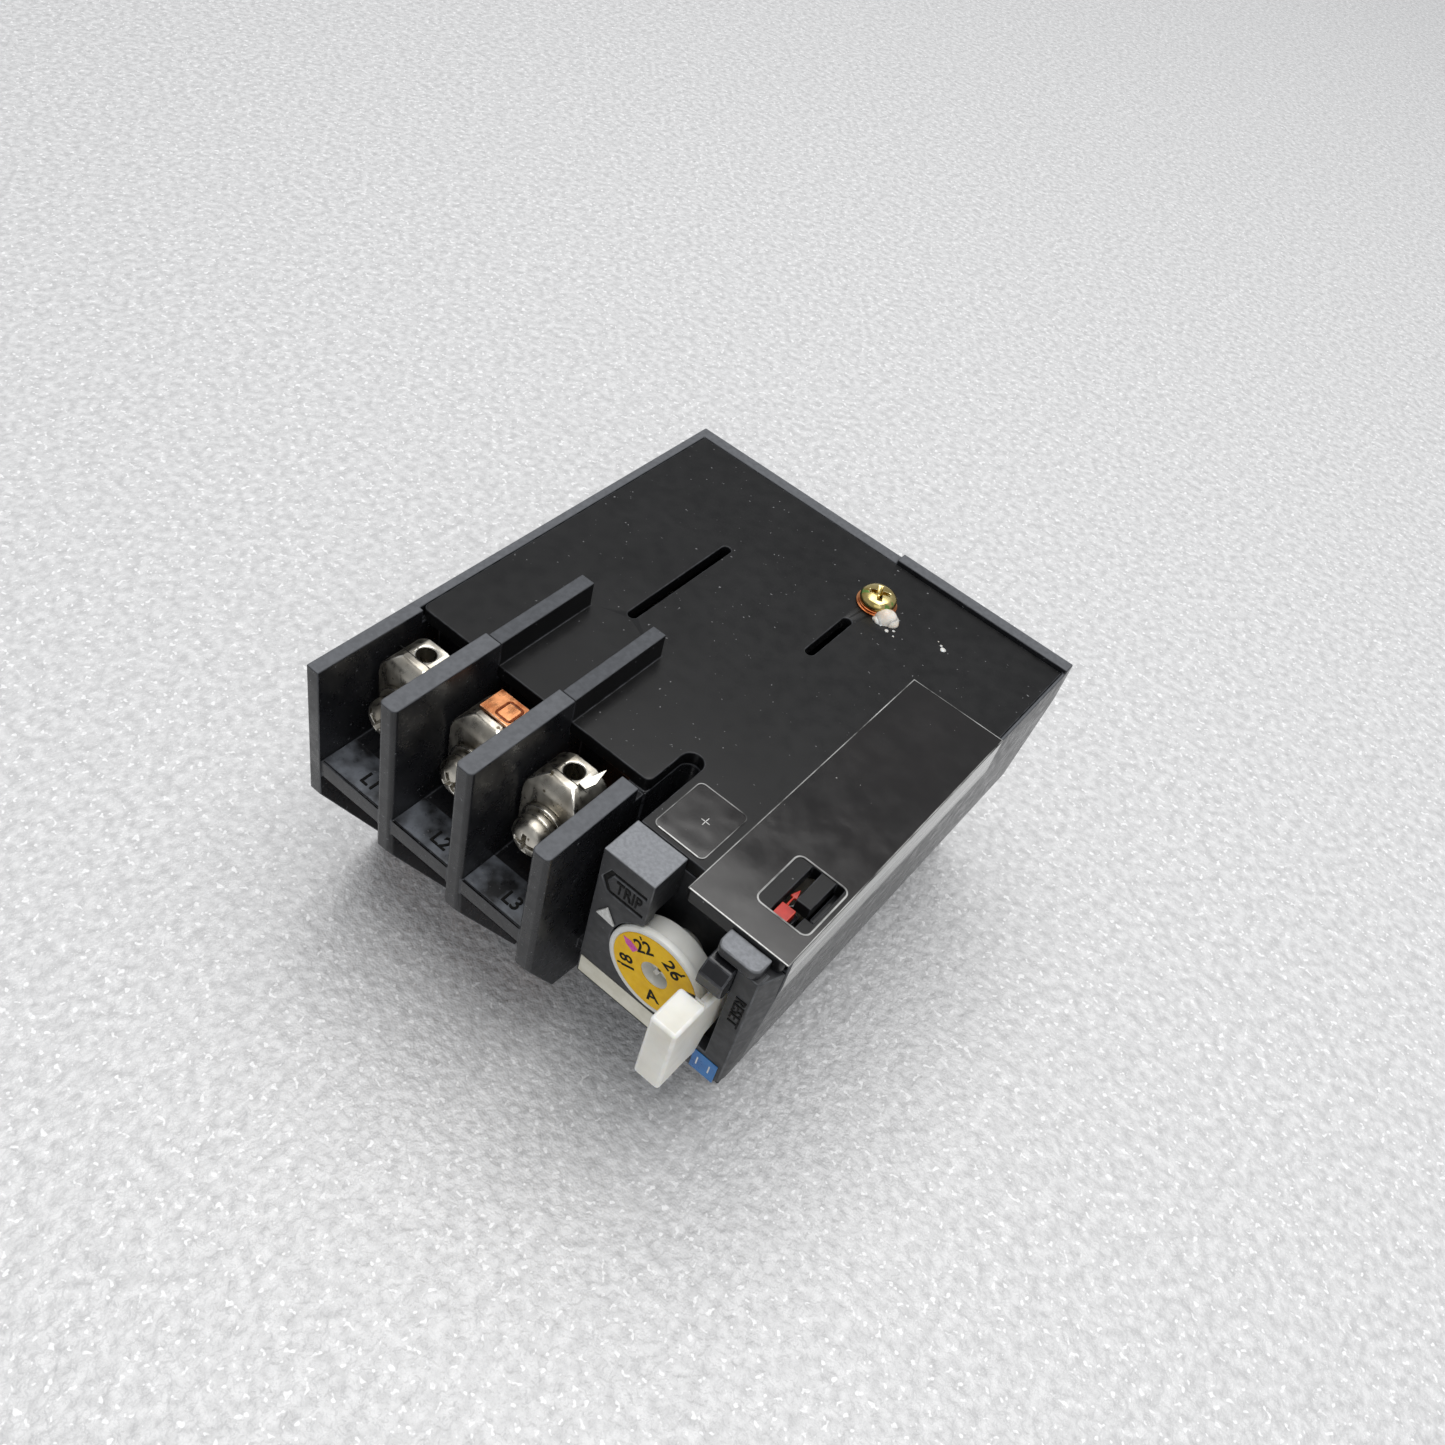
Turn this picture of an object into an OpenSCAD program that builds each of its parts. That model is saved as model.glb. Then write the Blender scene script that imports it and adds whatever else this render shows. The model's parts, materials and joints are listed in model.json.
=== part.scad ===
// Three-pole thermal overload relay, lying on the side that meets the contactor.
// +X runs across the poles, +Y goes from the operator's face to the back, +Z is up.
// Modules draw from the housing's front left corner, with Z = 0 at the cover's
// outer face, and frame() moves them so that the origin is under the middle.

/* [Housing] */
// Width of the housing across the poles
body_w = 64.9; // [64.5:0.1:66]
// Depth from the operator's face to the back
body_l = 75; // [75:0.5:78]
// Height of the cover's outer face above the base
cover_h = 44.5; // [44:0.5:47]
// Thickness of the outer walls
wall_t = 1.95; // [1.8:0.05:2]
// Thickness of the cover plate
cover_t = 2; // [1.8:0.1:2]
// Height of the two pole barriers above the cover
rib_h = 3.75; // [2:0.25:5]

/* [Poles] */
// Distance from one pole to the next
pole_pitch = 11.92; // [11.9:0.01:11.95]
// Centre of the first barrier from the left side
first_barrier = 13.25; // [13.2:0.05:13.3]
// Thickness of a barrier between poles
barrier_t = 2.55; // [2.4:0.05:2.6]
// Depth of the open terminal chambers
chamber_l = 16.7; // [16.6:0.1:16.8]
// Depth of the chamber floor below the cover
sill_z = 16.15; // [16:0.05:16.4]

/* [Terminals] */
// Radius of the rounded top of a terminal lug
lug_r = 4.4; // [4.2:0.05:4.45]
// Radius of the wire hole in the top of a lug
wire_r = 1.25; // [1:0.05:1.4]
// Radius of a terminal screw's head
head_r = 2.75; // [2.6:0.05:2.8]

/* [Controls] */
// Radius of the current setting dial
dial_r = 6.85; // [6.5:0.05:6.9]

/* [Hidden] */
$fn = 48;

film_t = 0.1;
side_t = 2.3;
side_lip = 0.45;
floor_t = 1.8;
gap = 0.1;

// Housing outline, front to back and top to bottom
front_wall_y = 16.5;
inner_front_y = 21;
back_t = 1.9;
inner_back_y = body_l - back_t;
base_z = -cover_h;
sill_t = 2.8;
nose_z = -22.6;
slant_y = 12.7;
step_z = -25.4;
lower_w = 60.4;
foot_x = 62.15;

// Third barrier and the control bay beside it
barrier_x = [for (i = [0:2]) first_barrier + i * pole_pitch - barrier_t / 2];
bay_x = barrier_x[2] + barrier_t;
pole_x = [
    (wall_t + barrier_x[0]) / 2,
    (barrier_x[0] + barrier_t + barrier_x[1]) / 2,
    (barrier_x[1] + barrier_t + barrier_x[2]) / 2
];
panel_x = 41.2;
panel_w = 22.37;
panel_y = 5.93;
panel_t = 1.8;
panel_bottom = -25.3;
block_w = 7.4;
block_l = 5.75;
strip_x = 60.7;
notch_y = 22.7;
notch_x = 38.55;
notch_w = 3;

// Dial centre, seen from the front
dial_x = 51.7;
dial_z = -13.9;
dial_face_y = 5.55;
dial_t = 3.6;
scale_r = 6.1;
hub_r = 2.2;
cam_y = 13.5;
cam_r = 3.2;
cam_throw = 1.2;
cam_angle = -119;

// Terminal screw axis and the lug round it
screw_z = -8.3;
lug_y = 8.6;
lug_l = 5.8;
lug_bottom = -12.5;
lug_top = -1.05;
strap_z = -0.6;
shank_r = 1.7;
wire_y = 12.2;

// Overload mechanism
bimetal_y = 25.6;
bimetal_l = 36.4;
bimetal_t = 0.9;
bimetal_z = -27.5;
bimetal_h = 6;
bar_z = -20.9;
bar_t = 1.6;
bar_end_x = 47;
tip_gap = 0.25;
peg_t = 1.2;
trip_pivot = [48.1, 47];
rocker_pivot = [55, 33];
adjust_pivot = [50.2, 27.5];

// Window in the label, and the slots in the cover under it
window_x = 56.9;
window_y = 12.9;
window_w = 7.3;
window_l = 8.7;
slot_x = 59.1;
slot_w = 3.3;
slot_y = 12.95;
slot_l = 8.45;
tongue_y = 16.3;
slide_x = 59.4;

seal_x = 39.4;
seal_y = 63.8;
washer_r = 2.9;

// The reset lever stands out in front, and the label wraps the right side
lever_front = -2.3;
mid_x = (body_w + film_t) / 2;
mid_y = (body_l + lever_front) / 2;

module frame() {
    translate([-mid_x, -mid_y, cover_h]) children();
}

// A plate that lies across X, drawn from its outline in Y and Z
module side_plate(x, thickness, outline) {
    translate([x, 0, 0]) rotate([90, 0, 90]) linear_extrude(thickness) polygon(outline);
}

// A plate that faces the operator, drawn from its outline in X and Z
module front_plate(y, thickness) {
    translate([0, y + thickness, 0]) rotate([90, 0, 0]) linear_extrude(thickness) children();
}

module box(x0, x1, y0, y1, z0, z1) {
    translate([x0, y0, z0]) cube([x1 - x0, y1 - y0, z1 - z0]);
}

// A cylinder along +Y
module rod_y(x, y, z, r, length) {
    translate([x, y, z]) rotate([-90, 0, 0]) cylinder(r = r, h = length);
}

// A round-cornered rectangle, from four circles and two bars
module round_rect(x, y, w, l, r) {
    for (cx = [x + r, x + w - r]) {
        for (cy = [y + r, y + l - r]) translate([cx, cy]) circle(r);
    }
    translate([x + r, y]) square([w - 2 * r, l]);
    translate([x, y + r]) square([w, l - 2 * r]);
}

// A slot with round ends, running along Y
module slot_plan(x, y0, y1, w) {
    translate([x, y0 + w / 2]) circle(w / 2);
    translate([x, y1 - w / 2]) circle(w / 2);
    translate([x - w / 2, y0 + w / 2]) square([w, y1 - y0 - w]);
}

// Plan of a wall whose front corners are rounded
module wall_plan(x, thickness, y_end) {
    r = 0.7;
    translate([x + r, r]) circle(r);
    translate([x + thickness - r, r]) circle(r);
    translate([x + r, 0]) square([thickness - 2 * r, r]);
    translate([x, r]) square([thickness, y_end - r]);
}

// ---- housing ----

module barrier(i, top) {
    end_y = front_wall_y + 0.5;
    tail = i == 2
        ? [[5.75, -32.5], [end_y, -34.5]]
        : [[slant_y, base_z], [end_y, base_z]];
    rear_y = chamber_l - 0.02;
    rear = [[end_y, -cover_t - gap], [rear_y, -cover_t - gap], [rear_y, top]];
    outline = concat([[0, top], [0, nose_z]], tail, rear);
    intersection() {
        side_plate(barrier_x[i] - 1, barrier_t + 2, outline);
        translate([0, 0, base_z]) linear_extrude(cover_h + rib_h) wall_plan(barrier_x[i], barrier_t, end_y);
    }
}

module left_wall() {
    end_y = front_wall_y + 0.5;
    side_plate(0, wall_t, [[0, 0], [0, nose_z], [slant_y, base_z], [end_y, base_z], [end_y, 0]]);
}

// The shell behind the terminals, before it is hollowed
module rear_block() {
    box(0, lower_w, front_wall_y, body_l, base_z, step_z);
    box(0, body_w, front_wall_y, body_l, step_z, 0);
    // The right half of the back rim stands a little proud
    side_x = bay_x - 1.7;
    box(side_x, body_w, inner_back_y, body_l, -1, 0.7);
}

// What is cut away so that the right side leans in towards the base
module side_draft() {
    translate([0, body_l + 1, 0]) rotate([90, 0, 0]) linear_extrude(body_l + 2) {
        polygon([[body_w, -6], [body_w + 1, -6], [body_w + 1, -30], [62.2, -30], [62.2, -25.6], [63.9, -23.8]]);
    }
}

module rear_hollow() {
    // Mechanism space behind the terminal chambers
    box(wall_t, lower_w - 1.5, inner_front_y, inner_back_y, base_z + floor_t, step_z + 0.01);
    box(wall_t, body_w - side_t, inner_front_y, inner_back_y, step_z, 1);
    // Rebate that the cover lies in
    box(1.3, body_w - side_lip, chamber_l - 0.3, inner_back_y, -cover_t, 0.01);
    box(1.3, body_w - 5, chamber_l - 0.3, inner_back_y, -cover_t, 2);
    // Space behind the control panel
    box(panel_x + 2.1, body_w - side_t, 14, inner_front_y + 0.01, step_z, 1);
    box(panel_x + 2.1, lower_w - 1.5, 18.3, inner_front_y + 0.01, base_z + floor_t, step_z + 0.01);
    // Back of each terminal chamber, under the cover's front edge
    for (i = [0:2]) {
        half = i == 0 ? pole_x[0] - wall_t : pole_x[i] - barrier_x[i - 1] - barrier_t;
        box(pole_x[i] - half, pole_x[i] + half, 15, 19.4, -sill_z, 0.01);
        // Passages for the load strip and the line tongue
        box(pole_x[i] - 3.1, pole_x[i] + 3.1, 19, inner_front_y + 0.01, -14.1, -12.4);
        box(pole_x[i] - 3.1, pole_x[i] + 3.1, 15, inner_front_y + 0.01, -22.2, -20.2);
    }
}

module notch_slot() {
    translate([0, 0, step_z]) linear_extrude(30) {
        slot_plan(notch_x + notch_w / 2, 0, notch_y + notch_w / 2, notch_w);
    }
}

module notch_well() {
    difference() {
        box(37, 43.2, front_wall_y, notch_y + 3, step_z, -cover_t - gap);
        notch_slot();
    }
}

module base_housing() {
    color("#1c1d20") frame() {
        difference() {
            union() {
                difference() {
                    union() {
                        left_wall();
                        rear_block();
                        box(0.5, bay_x - 0.5, front_wall_y - 0.5, 19.4, -sill_z - sill_t, -sill_z);
                    }
                    rear_hollow();
                    notch_slot();
                    // Control bay in front of the right half
                    box(bay_x, body_w - 2, 0, 16.6, step_z, 1);
                    box(body_w - 2.1, body_w + 1, 0, 9.4, step_z - 3, 1);
                }
                barrier(0, rib_h);
                barrier(1, rib_h);
                intersection() {
                    barrier(2, 0);
                    box(30, 45, -1, 15.1, base_z - 1, 5);
                }
                box(barrier_x[2], bay_x, 15, front_wall_y + 0.5, -34, -cover_t - 0.3);
                // Chamber floor and sill
                box(0.5, bay_x - 0.5, 0.25, front_wall_y + 0.3, -sill_z - sill_t, -sill_z);
                // Shelf under the control panel
                box(bay_x - 0.5, body_w - 0.6, 9.4, front_wall_y + 0.5, step_z - 2, step_z);
                box(body_w - 2, body_w, 9.4, front_wall_y + 0.5, step_z - 2, -cover_t - gap);
                box(body_w - side_lip + gap, body_w, 9.4, front_wall_y + 0.5, -3, 0);
                notch_well();
                // Boss for the sealed cover screw, carried by a web from the back wall
                translate([seal_x, seal_y, -15]) cylinder(r = 2.6, h = 15 - cover_t - gap);
                box(seal_x - 1.2, seal_x + 1.2, seal_y, inner_back_y + 0.5, -15, -cover_t - gap);
                // Posts that carry the slider bars
                box(wall_t - 0.5, 4.2, 55.8, 63.4, base_z + 1, bar_z - 0.2);
                box(37, 38.6, 55.8, 60, base_z + 1, bar_z - 0.2);
                // Bosses for the three pivot pins
                for (p = [trip_pivot, rocker_pivot, adjust_pivot]) {
                    translate([p[0], p[1], base_z + 1]) cylinder(r = 2.4, h = 14);
                }
                // Side feet under the right edge
                box(lower_w - 0.5, foot_x, 31.6, 35.4, -33.2, step_z + 0.5);
                box(lower_w - 0.5, foot_x, 41, 45.6, -33.2, step_z + 0.5);
            }
            // Pilot hole for the cover screw
            translate([seal_x, seal_y, -13]) cylinder(r = 1.05, h = 20);
            side_draft();
            for (p = [trip_pivot, rocker_pivot, adjust_pivot]) {
                translate([p[0], p[1], base_z + 5]) cylinder(r = 0.82, h = 20);
            }
        }
    }
}

// Openings round the tongue beside the test slide
module slide_slots() {
    translate([slot_x, slot_y]) square([slot_w, tongue_y - slot_y]);
    translate([slot_x, slot_y]) square([1.25, slot_l]);
    translate([slot_x + slot_w, slot_y + 2.1]) square([1.2, slot_l - 2]);
    translate([slot_x + slot_w - 1, slot_y + 2.1]) square([2.2, tongue_y - slot_y - 2.1]);
}

// Plan of the cover plate, with the notch beside the control block
module cover_plan() {
    edge = 1.3 + gap;
    right = body_w - side_lip - gap / 2;
    back = inner_back_y - gap;
    difference() {
        union() {
            round_rect(edge, chamber_l, notch_x - edge, 10, 0.9);
            translate([edge, chamber_l + 5]) square([notch_x - edge, back - chamber_l - 5]);
            translate([notch_x - 1, notch_y + 5]) square([right - notch_x + 1, back - notch_y - 5]);
            translate([notch_x + notch_w - 1, panel_y + block_l + gap]) {
                square([right - notch_x - notch_w + 1, 20]);
            }
            round_rect(51, 8.6, right - 51, 12, 0.6);
            translate([notch_x - 1, 19]) square([5, 12]);
        }
        slot_plan(notch_x + notch_w / 2, 0, notch_y + notch_w / 2, notch_w);
        slot_plan(19.2, 35.4, 56.4, 1.4);
        slot_plan(38.7, 48.3, 58.2, 1.4);
        slide_slots();
        translate([seal_x, seal_y]) circle(1.5);
    }
}

module top_cover() {
    color("#17181a") frame() {
        translate([0, 0, -cover_t]) linear_extrude(cover_t) cover_plan();
        for (i = [0:1]) {
            rib_w = 2.1;
            x = barrier_x[i] + barrier_t - rib_w;
            box(x, x + rib_w, chamber_l, 33.2, -0.5, rib_h);
        }
    }
}

// ---- control panel ----

module panel_plan() {
    difference() {
        union() {
            translate([panel_x, panel_bottom]) square([panel_w, 23.1]);
            translate([panel_x, -3]) square([block_w, 3]);
        }
        translate([dial_x, dial_z]) circle(dial_r + 0.2);
        translate([panel_x + block_w, dial_z]) square([strip_x - panel_x - block_w, 20]);
        translate([58.6, -20.6]) square([strip_x - 58.6, 20]);
    }
}

// Outline of an arrow that points left and is open on the right
module trip_outline() {
    polygon([[41.75, -4.7], [42.8, -2.6], [48, -2.6], [48, -3.25], [43.2, -3.25], [42.5, -4.7],
        [43.2, -6.1], [48, -6.1], [48, -6.75], [42.8, -6.75]]);
}

module control_panel() {
    color("#26282c") frame() {
        difference() {
            union() {
                front_plate(panel_y, panel_t) panel_plan();
                box(panel_x, panel_x + block_w, panel_y, panel_y + block_l, -6.4, 0);
                box(panel_x, panel_x + 1.3, panel_y, 16.3, panel_bottom, -cover_t - 0.3);
                box(panel_x + panel_w - 1.3, panel_x + panel_w, panel_y, 9.3, panel_bottom, -cover_t - 0.3);
                box(panel_x, 62.6, panel_y, 13.6, panel_bottom, panel_bottom + 1.3);
                // Cheek that meets the housing's right side
                translate([0, 0, panel_bottom]) linear_extrude(-panel_bottom - cover_t - 0.3) {
                    polygon([[62.4, panel_y], [panel_x + panel_w, panel_y], [64.8, 9.3], [62.4, 9.3]]);
                }
                // Bearing wall for the dial's shaft
                box(panel_x + 1, 58.4, 11.8, 13.4, panel_bottom, -cover_t - 0.3);
            }
            side_draft();
            // Engraved outline of the trip arrow
            front_plate(panel_y - 1, 1.35) trip_outline();
            rod_y(dial_x, 5, dial_z, hub_r + 0.06, 10);
        }
    }
}

module panel_label() {
    color("#d9d4c4") frame() box(41.5, 58.4, panel_y - 0.1, panel_y, -24.75, -21.55);
}

module terminal_tag() {
    color("#1d62a8") frame() box(59.4, 62.95, panel_y - 0.12, panel_y, -25.1, -21.3);
}

module dial_pointer() {
    color("#e8e8e2") frame() {
        front_plate(panel_y - 0.35, 0.35) polygon([[42.2, -11.1], [43.5, -9.1], [44.95, -11.4]]);
    }
}

// ---- dial and adjusting lever ----

module setting_dial() {
    color("#e9e8e3") frame() {
        difference() {
            union() {
                rod_y(dial_x, dial_face_y, dial_z, dial_r, dial_t);
                rod_y(dial_x, dial_face_y + dial_t - 0.5, dial_z, hub_r, cam_y - dial_face_y - dial_t + 0.5);
            }
            rod_y(dial_x, dial_face_y - 1, dial_z, scale_r, 1.15);
            // Screwdriver socket
            rod_y(dial_x, dial_face_y - 1, dial_z, 1.9, 2.6);
        }
    }
}

module dial_scale() {
    color("#e2b21c") frame() {
        difference() {
            rod_y(dial_x, dial_face_y + 0.02, dial_z, scale_r - 0.03, 0.13);
            rod_y(dial_x, dial_face_y - 1, dial_z, 1.9, 3);
        }
    }
}

// Eccentric on the dial's shaft; it pushes evenly over the dial's range
module dial_cam() {
    color("#d8d6cf") frame() {
        rod_y(dial_x + cam_throw * cos(cam_angle), cam_y, dial_z + cam_throw * sin(cam_angle), cam_r, 3.5);
    }
}

// Turned by the cam, it shifts the trip lever's starting point
module adjusting_lever() {
    color("#b9bcc0") frame() {
        difference() {
            union() {
                translate([adjust_pivot[0], adjust_pivot[1], -29.4]) cylinder(r = 2.2, h = 20);
                box(adjust_pivot[0] - 3.5, adjust_pivot[0] - 2.5, 13.9, 27.4, -17.4, -10.4);
                box(adjust_pivot[0] - 3.5, adjust_pivot[0], 26.2, 27.4, -17.4, -10.4);
                box(adjust_pivot[0] - 0.5, adjust_pivot[0] + 0.5, 28, 38.2, -20, -14);
            }
            translate([adjust_pivot[0], adjust_pivot[1], -40]) cylinder(r = 0.86, h = 40);
        }
    }
}

// A pivot pin standing in its boss
module pivot_pin(p, top) {
    color("#9a9da1") frame() translate([p[0], p[1], base_z + 5]) cylinder(r = 0.8, h = top - base_z - 5);
}

module adjusting_pin() {
    pivot_pin(adjust_pivot, -8.4);
}

// ---- reset lever ----

module reset_lever() {
    color("#efeee8") frame() {
        box(56.4, 60.05, lever_front, 3.05, -19.3, -7.35);
        stem = [[2.5, -19.3], [4.6, -19.8], [5.6, -16.6], [14, -14.2], [14, -8.9], [9.6, -8.6], [2.5, -7.35]];
        side_plate(58.8, 1.25, stem);
    }
}

// Leaf that pushes the lever back out
module reset_spring() {
    color("#b9bcc0") frame() {
        translate([0, 0, -12.4]) linear_extrude(4.8) {
            polygon([[58.9, 14], [59.7, 14], [62.3, 18.4], [62.3, 20.6], [62, 20.6], [62, 18.6]]);
        }
    }
}

module lever_guide() {
    color("#141518") frame() {
        outline = [[3.8, -6], [4.6, -6.95], [11.8, -6.95], [11.8, -2.7], [5.2, -2.7], [3.8, -4.1]];
        side_plate(57.3, strip_x - 57.3, outline);
    }
}

module cover_tab() {
    color("#2a2c30") frame() {
        translate([0, 0, -2.15]) linear_extrude(1.5) {
            round_rect(57.4, 5.8, 5.7, 2.4, 1.1);
            translate([57.4, 7]) square([5.7, 1.6]);
        }
    }
}

// ---- window, test slide and films ----

module test_slide() {
    color("#c3281f") frame() {
        box(slide_x, slide_x + 1.9, 13.2, 15.1, -3.6, -0.15);
        box(slide_x - 0.2, slide_x + 2.1, 12.8, 16.2, -3.6, -2.2);
        box(slide_x + 0.3, slide_x + 0.5, 15, 17.1, -1.4, -0.9);
        translate([0, 0, -1.4]) linear_extrude(0.5) {
            polygon([[slide_x - 0.1, 17], [slide_x + 0.85, 17], [slide_x + 0.4, 18.4]]);
        }
        box(slide_x + 0.3, slide_x + 0.6, 15, 15.9, -2.5, -0.9);
    }
}

module test_spring() {
    color("#b9bcc0") frame() {
        translate([0, 0, -3.5]) linear_extrude(1) {
            polygon([[59.3, 16.2], [61.4, 16.2], [61.4, 16.4], [59.6, 16.4],
                [61.8, 19.4], [61.5, 19.4], [59.3, 16.4]]);
        }
    }
}

module label_film() {
    color("#3a3c40", 0.35) frame() {
        difference() {
            union() {
                box(51, body_w + film_t, 8.65, 55.6, 0, film_t);
                box(body_w, body_w + film_t, 9.5, 55.6, -8.2, 0.05);
            }
            translate([0, 0, -1]) linear_extrude(3) {
                round_rect(window_x, window_y, window_w, window_l, 1);
            }
        }
    }
}

module corner_film() {
    color("#3a3c40", 0.35) frame() linear_extrude(0.08) round_rect(42.6, 12.5, 7.3, 8.8, 0.8);
}

// ---- sealed cover screw ----

module seal_screw() {
    color("#c9a544") frame() {
        difference() {
            union() {
                translate([seal_x, seal_y, 0.6]) cylinder(r = 2.6, h = 1.1);
                translate([seal_x, seal_y, 1.6]) cylinder(r1 = 2.6, r2 = 1.8, h = 0.5);
                translate([seal_x, seal_y, -11]) cylinder(r = 1.0, h = 12);
            }
            for (a = [0, 90]) translate([seal_x, seal_y, 1.9]) rotate(a) cube([2.6, 0.5, 1.6], center = true);
        }
    }
}

module seal_washer() {
    color("#b98a4a") frame() {
        translate([seal_x, seal_y, 0]) difference() {
            cylinder(r = washer_r, h = 0.6);
            translate([0, 0, -1]) cylinder(r = 1.05, h = 3);
        }
    }
}

// Hardened drop of sealing lacquer beside the head
module seal_drop() {
    color("#e3dfd2") frame() {
        intersection() {
            union() {
                translate([42.3, 62.7, -0.7]) sphere(1.9);
                translate([43.5, 61.8, -0.8]) sphere(1.4);
            }
            difference() {
                box(38, 46, 58, 68, 0, 4);
                translate([seal_x, seal_y, -1]) cylinder(r = washer_r + 0.03, h = 6);
            }
        }
    }
}

// ---- terminals and conductors ----

module lug_plan() {
    circle(lug_r);
    translate([-lug_r, lug_bottom + 5.2]) square([2 * lug_r, -lug_bottom - 5.2]);
}

// Rounds the front top edge of a lug over
module lug_shoulder(x) {
    r = 2.3;
    difference() {
        box(x - 6, x + 6, lug_y - 1, lug_y + r, lug_top - r, 1);
        translate([x - 7, lug_y + r, lug_top - r]) rotate([0, 90, 0]) cylinder(r = r, h = 14);
    }
}

module terminal_lug(i) {
    color("#c6c2b6") frame() {
        difference() {
            translate([pole_x[i], lug_y + lug_l, -5.2]) rotate([90, 0, 0]) linear_extrude(lug_l) lug_plan();
            box(pole_x[i] - 6, pole_x[i] + 6, 0, 20, lug_top, 2);
            rod_y(pole_x[i], lug_y - 1, screw_z, shank_r + 0.05, 6.1);
            lug_shoulder(pole_x[i]);
            translate([pole_x[i], wire_y, screw_z]) cylinder(r = wire_r, h = 10);
        }
    }
}

module terminal_screw(i) {
    color("#cfccc2") frame() {
        difference() {
            union() {
                rod_y(pole_x[i], 5.2, screw_z, head_r, 1.8);
                translate([pole_x[i], 5.2, screw_z]) rotate([90, 0, 0]) {
                    cylinder(r1 = head_r, r2 = head_r - 0.8, h = 0.6);
                }
                rod_y(pole_x[i], 6, screw_z, shank_r, 4.6);
            }
            for (a = [0, 90]) translate([pole_x[i], 5, screw_z]) rotate([0, a, 0]) {
                cube([3.3, 1.8, 0.65], center = true);
            }
        }
    }
}

// A spring washer and a flat washer under each terminal screw
module screw_washers() {
    color("#b9b6ac") frame() {
        for (x = pole_x) {
            difference() {
                union() {
                    rod_y(x, 7.02, screw_z, 2.7, 0.86);
                    rod_y(x, 7.9, screw_z, 3.35, 0.68);
                }
                rod_y(x, 6, screw_z, shank_r + 0.1, 5);
            }
        }
    }
}

// Copper from a load terminal to its heater
module load_strip(i) {
    color("#b87345") frame() {
        x = pole_x[i];
        box(x - 3, x + 3, 9.2, 25, -13.9, -12.5);
        box(x - 3, x + 3, 23.8, 25, -19, -13.9);
        if (i == 1) {
            // The middle strap comes up and over the lug
            box(x - 2.2, x + 2.6, 14.42, 14.82, -12.6, strap_z);
            box(x - 2.2, x + 2.6, 10.9, 14.82, lug_top + 0.01, strap_z);
        }
    }
}

// Copper tongue that goes into the contactor
module line_tongue(i) {
    color("#b87345") frame() {
        x = pole_x[i];
        difference() {
            union() {
                box(x - 3, x + 3, 12.6, 25.5, -22, -20.4);
                box(x - 3, x + 3, 12.6, 14.2, -41, -20.4);
                box(x - 3, x + 3, 24, 25.5, -29, -20.4);
            }
            rod_y(x, 10, -35, 2.2, 6);
        }
    }
}

// ---- overload mechanism ----

module bimetal(i) {
    color("#a8a49c") frame() {
        box(pole_x[i] - bimetal_t / 2, pole_x[i] + bimetal_t / 2, bimetal_y, bimetal_y + bimetal_l,
            bimetal_z, bimetal_z + bimetal_h);
    }
}

// Heater ribbon wound on the bimetal over a woven sleeve
module heater_coil(i) {
    color("#c9c0ae") frame() {
        turns = 6;
        step = 3.6;
        difference() {
            union() {
                box(pole_x[i] - 1.2, pole_x[i] + 1.2, 30, 30 + turns * step, bimetal_z - 0.8, bimetal_z + bimetal_h + 0.8);
                for (k = [0:turns - 1]) {
                    y = 30.6 + k * step;
                    box(pole_x[i] - 1.6, pole_x[i] + 1.6, y, y + 2.2, bimetal_z - 1.2, bimetal_z + bimetal_h + 1.2);
                }
            }
            box(pole_x[i] - bimetal_t / 2, pole_x[i] + bimetal_t / 2, 29, 60, bimetal_z, bimetal_z + bimetal_h);
        }
    }
}

// A bar with a peg beside each bimetal tip; side is 1 right of the tips and -1 left
module slider_bar(y, w, side, x_end) {
    box(2.7, x_end, y, y + w, bar_z, bar_z + bar_t);
    for (x = pole_x) {
        near = bimetal_t / 2 + tip_gap;
        x0 = side > 0 ? x + near : x - near - peg_t;
        box(x0, x0 + peg_t, y, y + w, bar_z - 3.6, bar_z + 0.1);
    }
}

module trip_slider() {
    color("#d9d3c0") frame() slider_bar(60.6, 1.4, 1, bar_end_x);
}

module phase_loss_slider() {
    color("#8f3a2c") frame() slider_bar(57.4, 1.8, -1, 45);
}

// Ambient compensated lever that the trip slider pushes
module trip_lever() {
    color("#a8a49c") frame() {
        x = trip_pivot[0];
        difference() {
            union() {
                box(x - 0.6, x + 0.4, 40, 62.6, -24, -16);
                translate([x, trip_pivot[1], -29.4]) cylinder(r = 1.5, h = 15);
            }
            translate([x, trip_pivot[1], -40]) cylinder(r = 0.86, h = 40);
        }
    }
}

module trip_lever_pin() {
    pivot_pin(trip_pivot, -13);
}

// Over-centre leaf on the contact rocker, reaching towards the trip lever
module snap_spring() {
    color("#c9c4b4") frame() {
        translate([0, 0, -21.5]) linear_extrude(3) {
            polygon([[49.5, 40.7], [51.6, 42.4], [54.7, 39.8], [54.7, 40.1], [51.6, 42.8], [49.5, 41.1]]);
        }
    }
}

module contact_rocker() {
    color("#d9d3c0") frame() {
        p = rocker_pivot;
        difference() {
            union() {
                translate([p[0], p[1], -29.4]) cylinder(r = 2.1, h = 14);
                box(p[0] - 0.7, p[0] + 0.7, p[1] + 1.5, p[1] + 6.6, -23.5, -17.5);
            }
            translate([p[0], p[1], -40]) cylinder(r = 0.86, h = 40);
        }
    }
}

module rocker_pin() {
    pivot_pin(rocker_pivot, -14);
}

module moving_contact() {
    color("#c88a3e") frame() {
        p = rocker_pivot;
        box(p[0] - 0.3, p[0] + 0.3, p[1] + 6.7, p[1] + 16, -22.5, -18.5);
        translate([p[0] - 0.9, p[1] + 14.4, -20.5]) rotate([0, 90, 0]) cylinder(r = 1.2, h = 1.8);
    }
}

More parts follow.
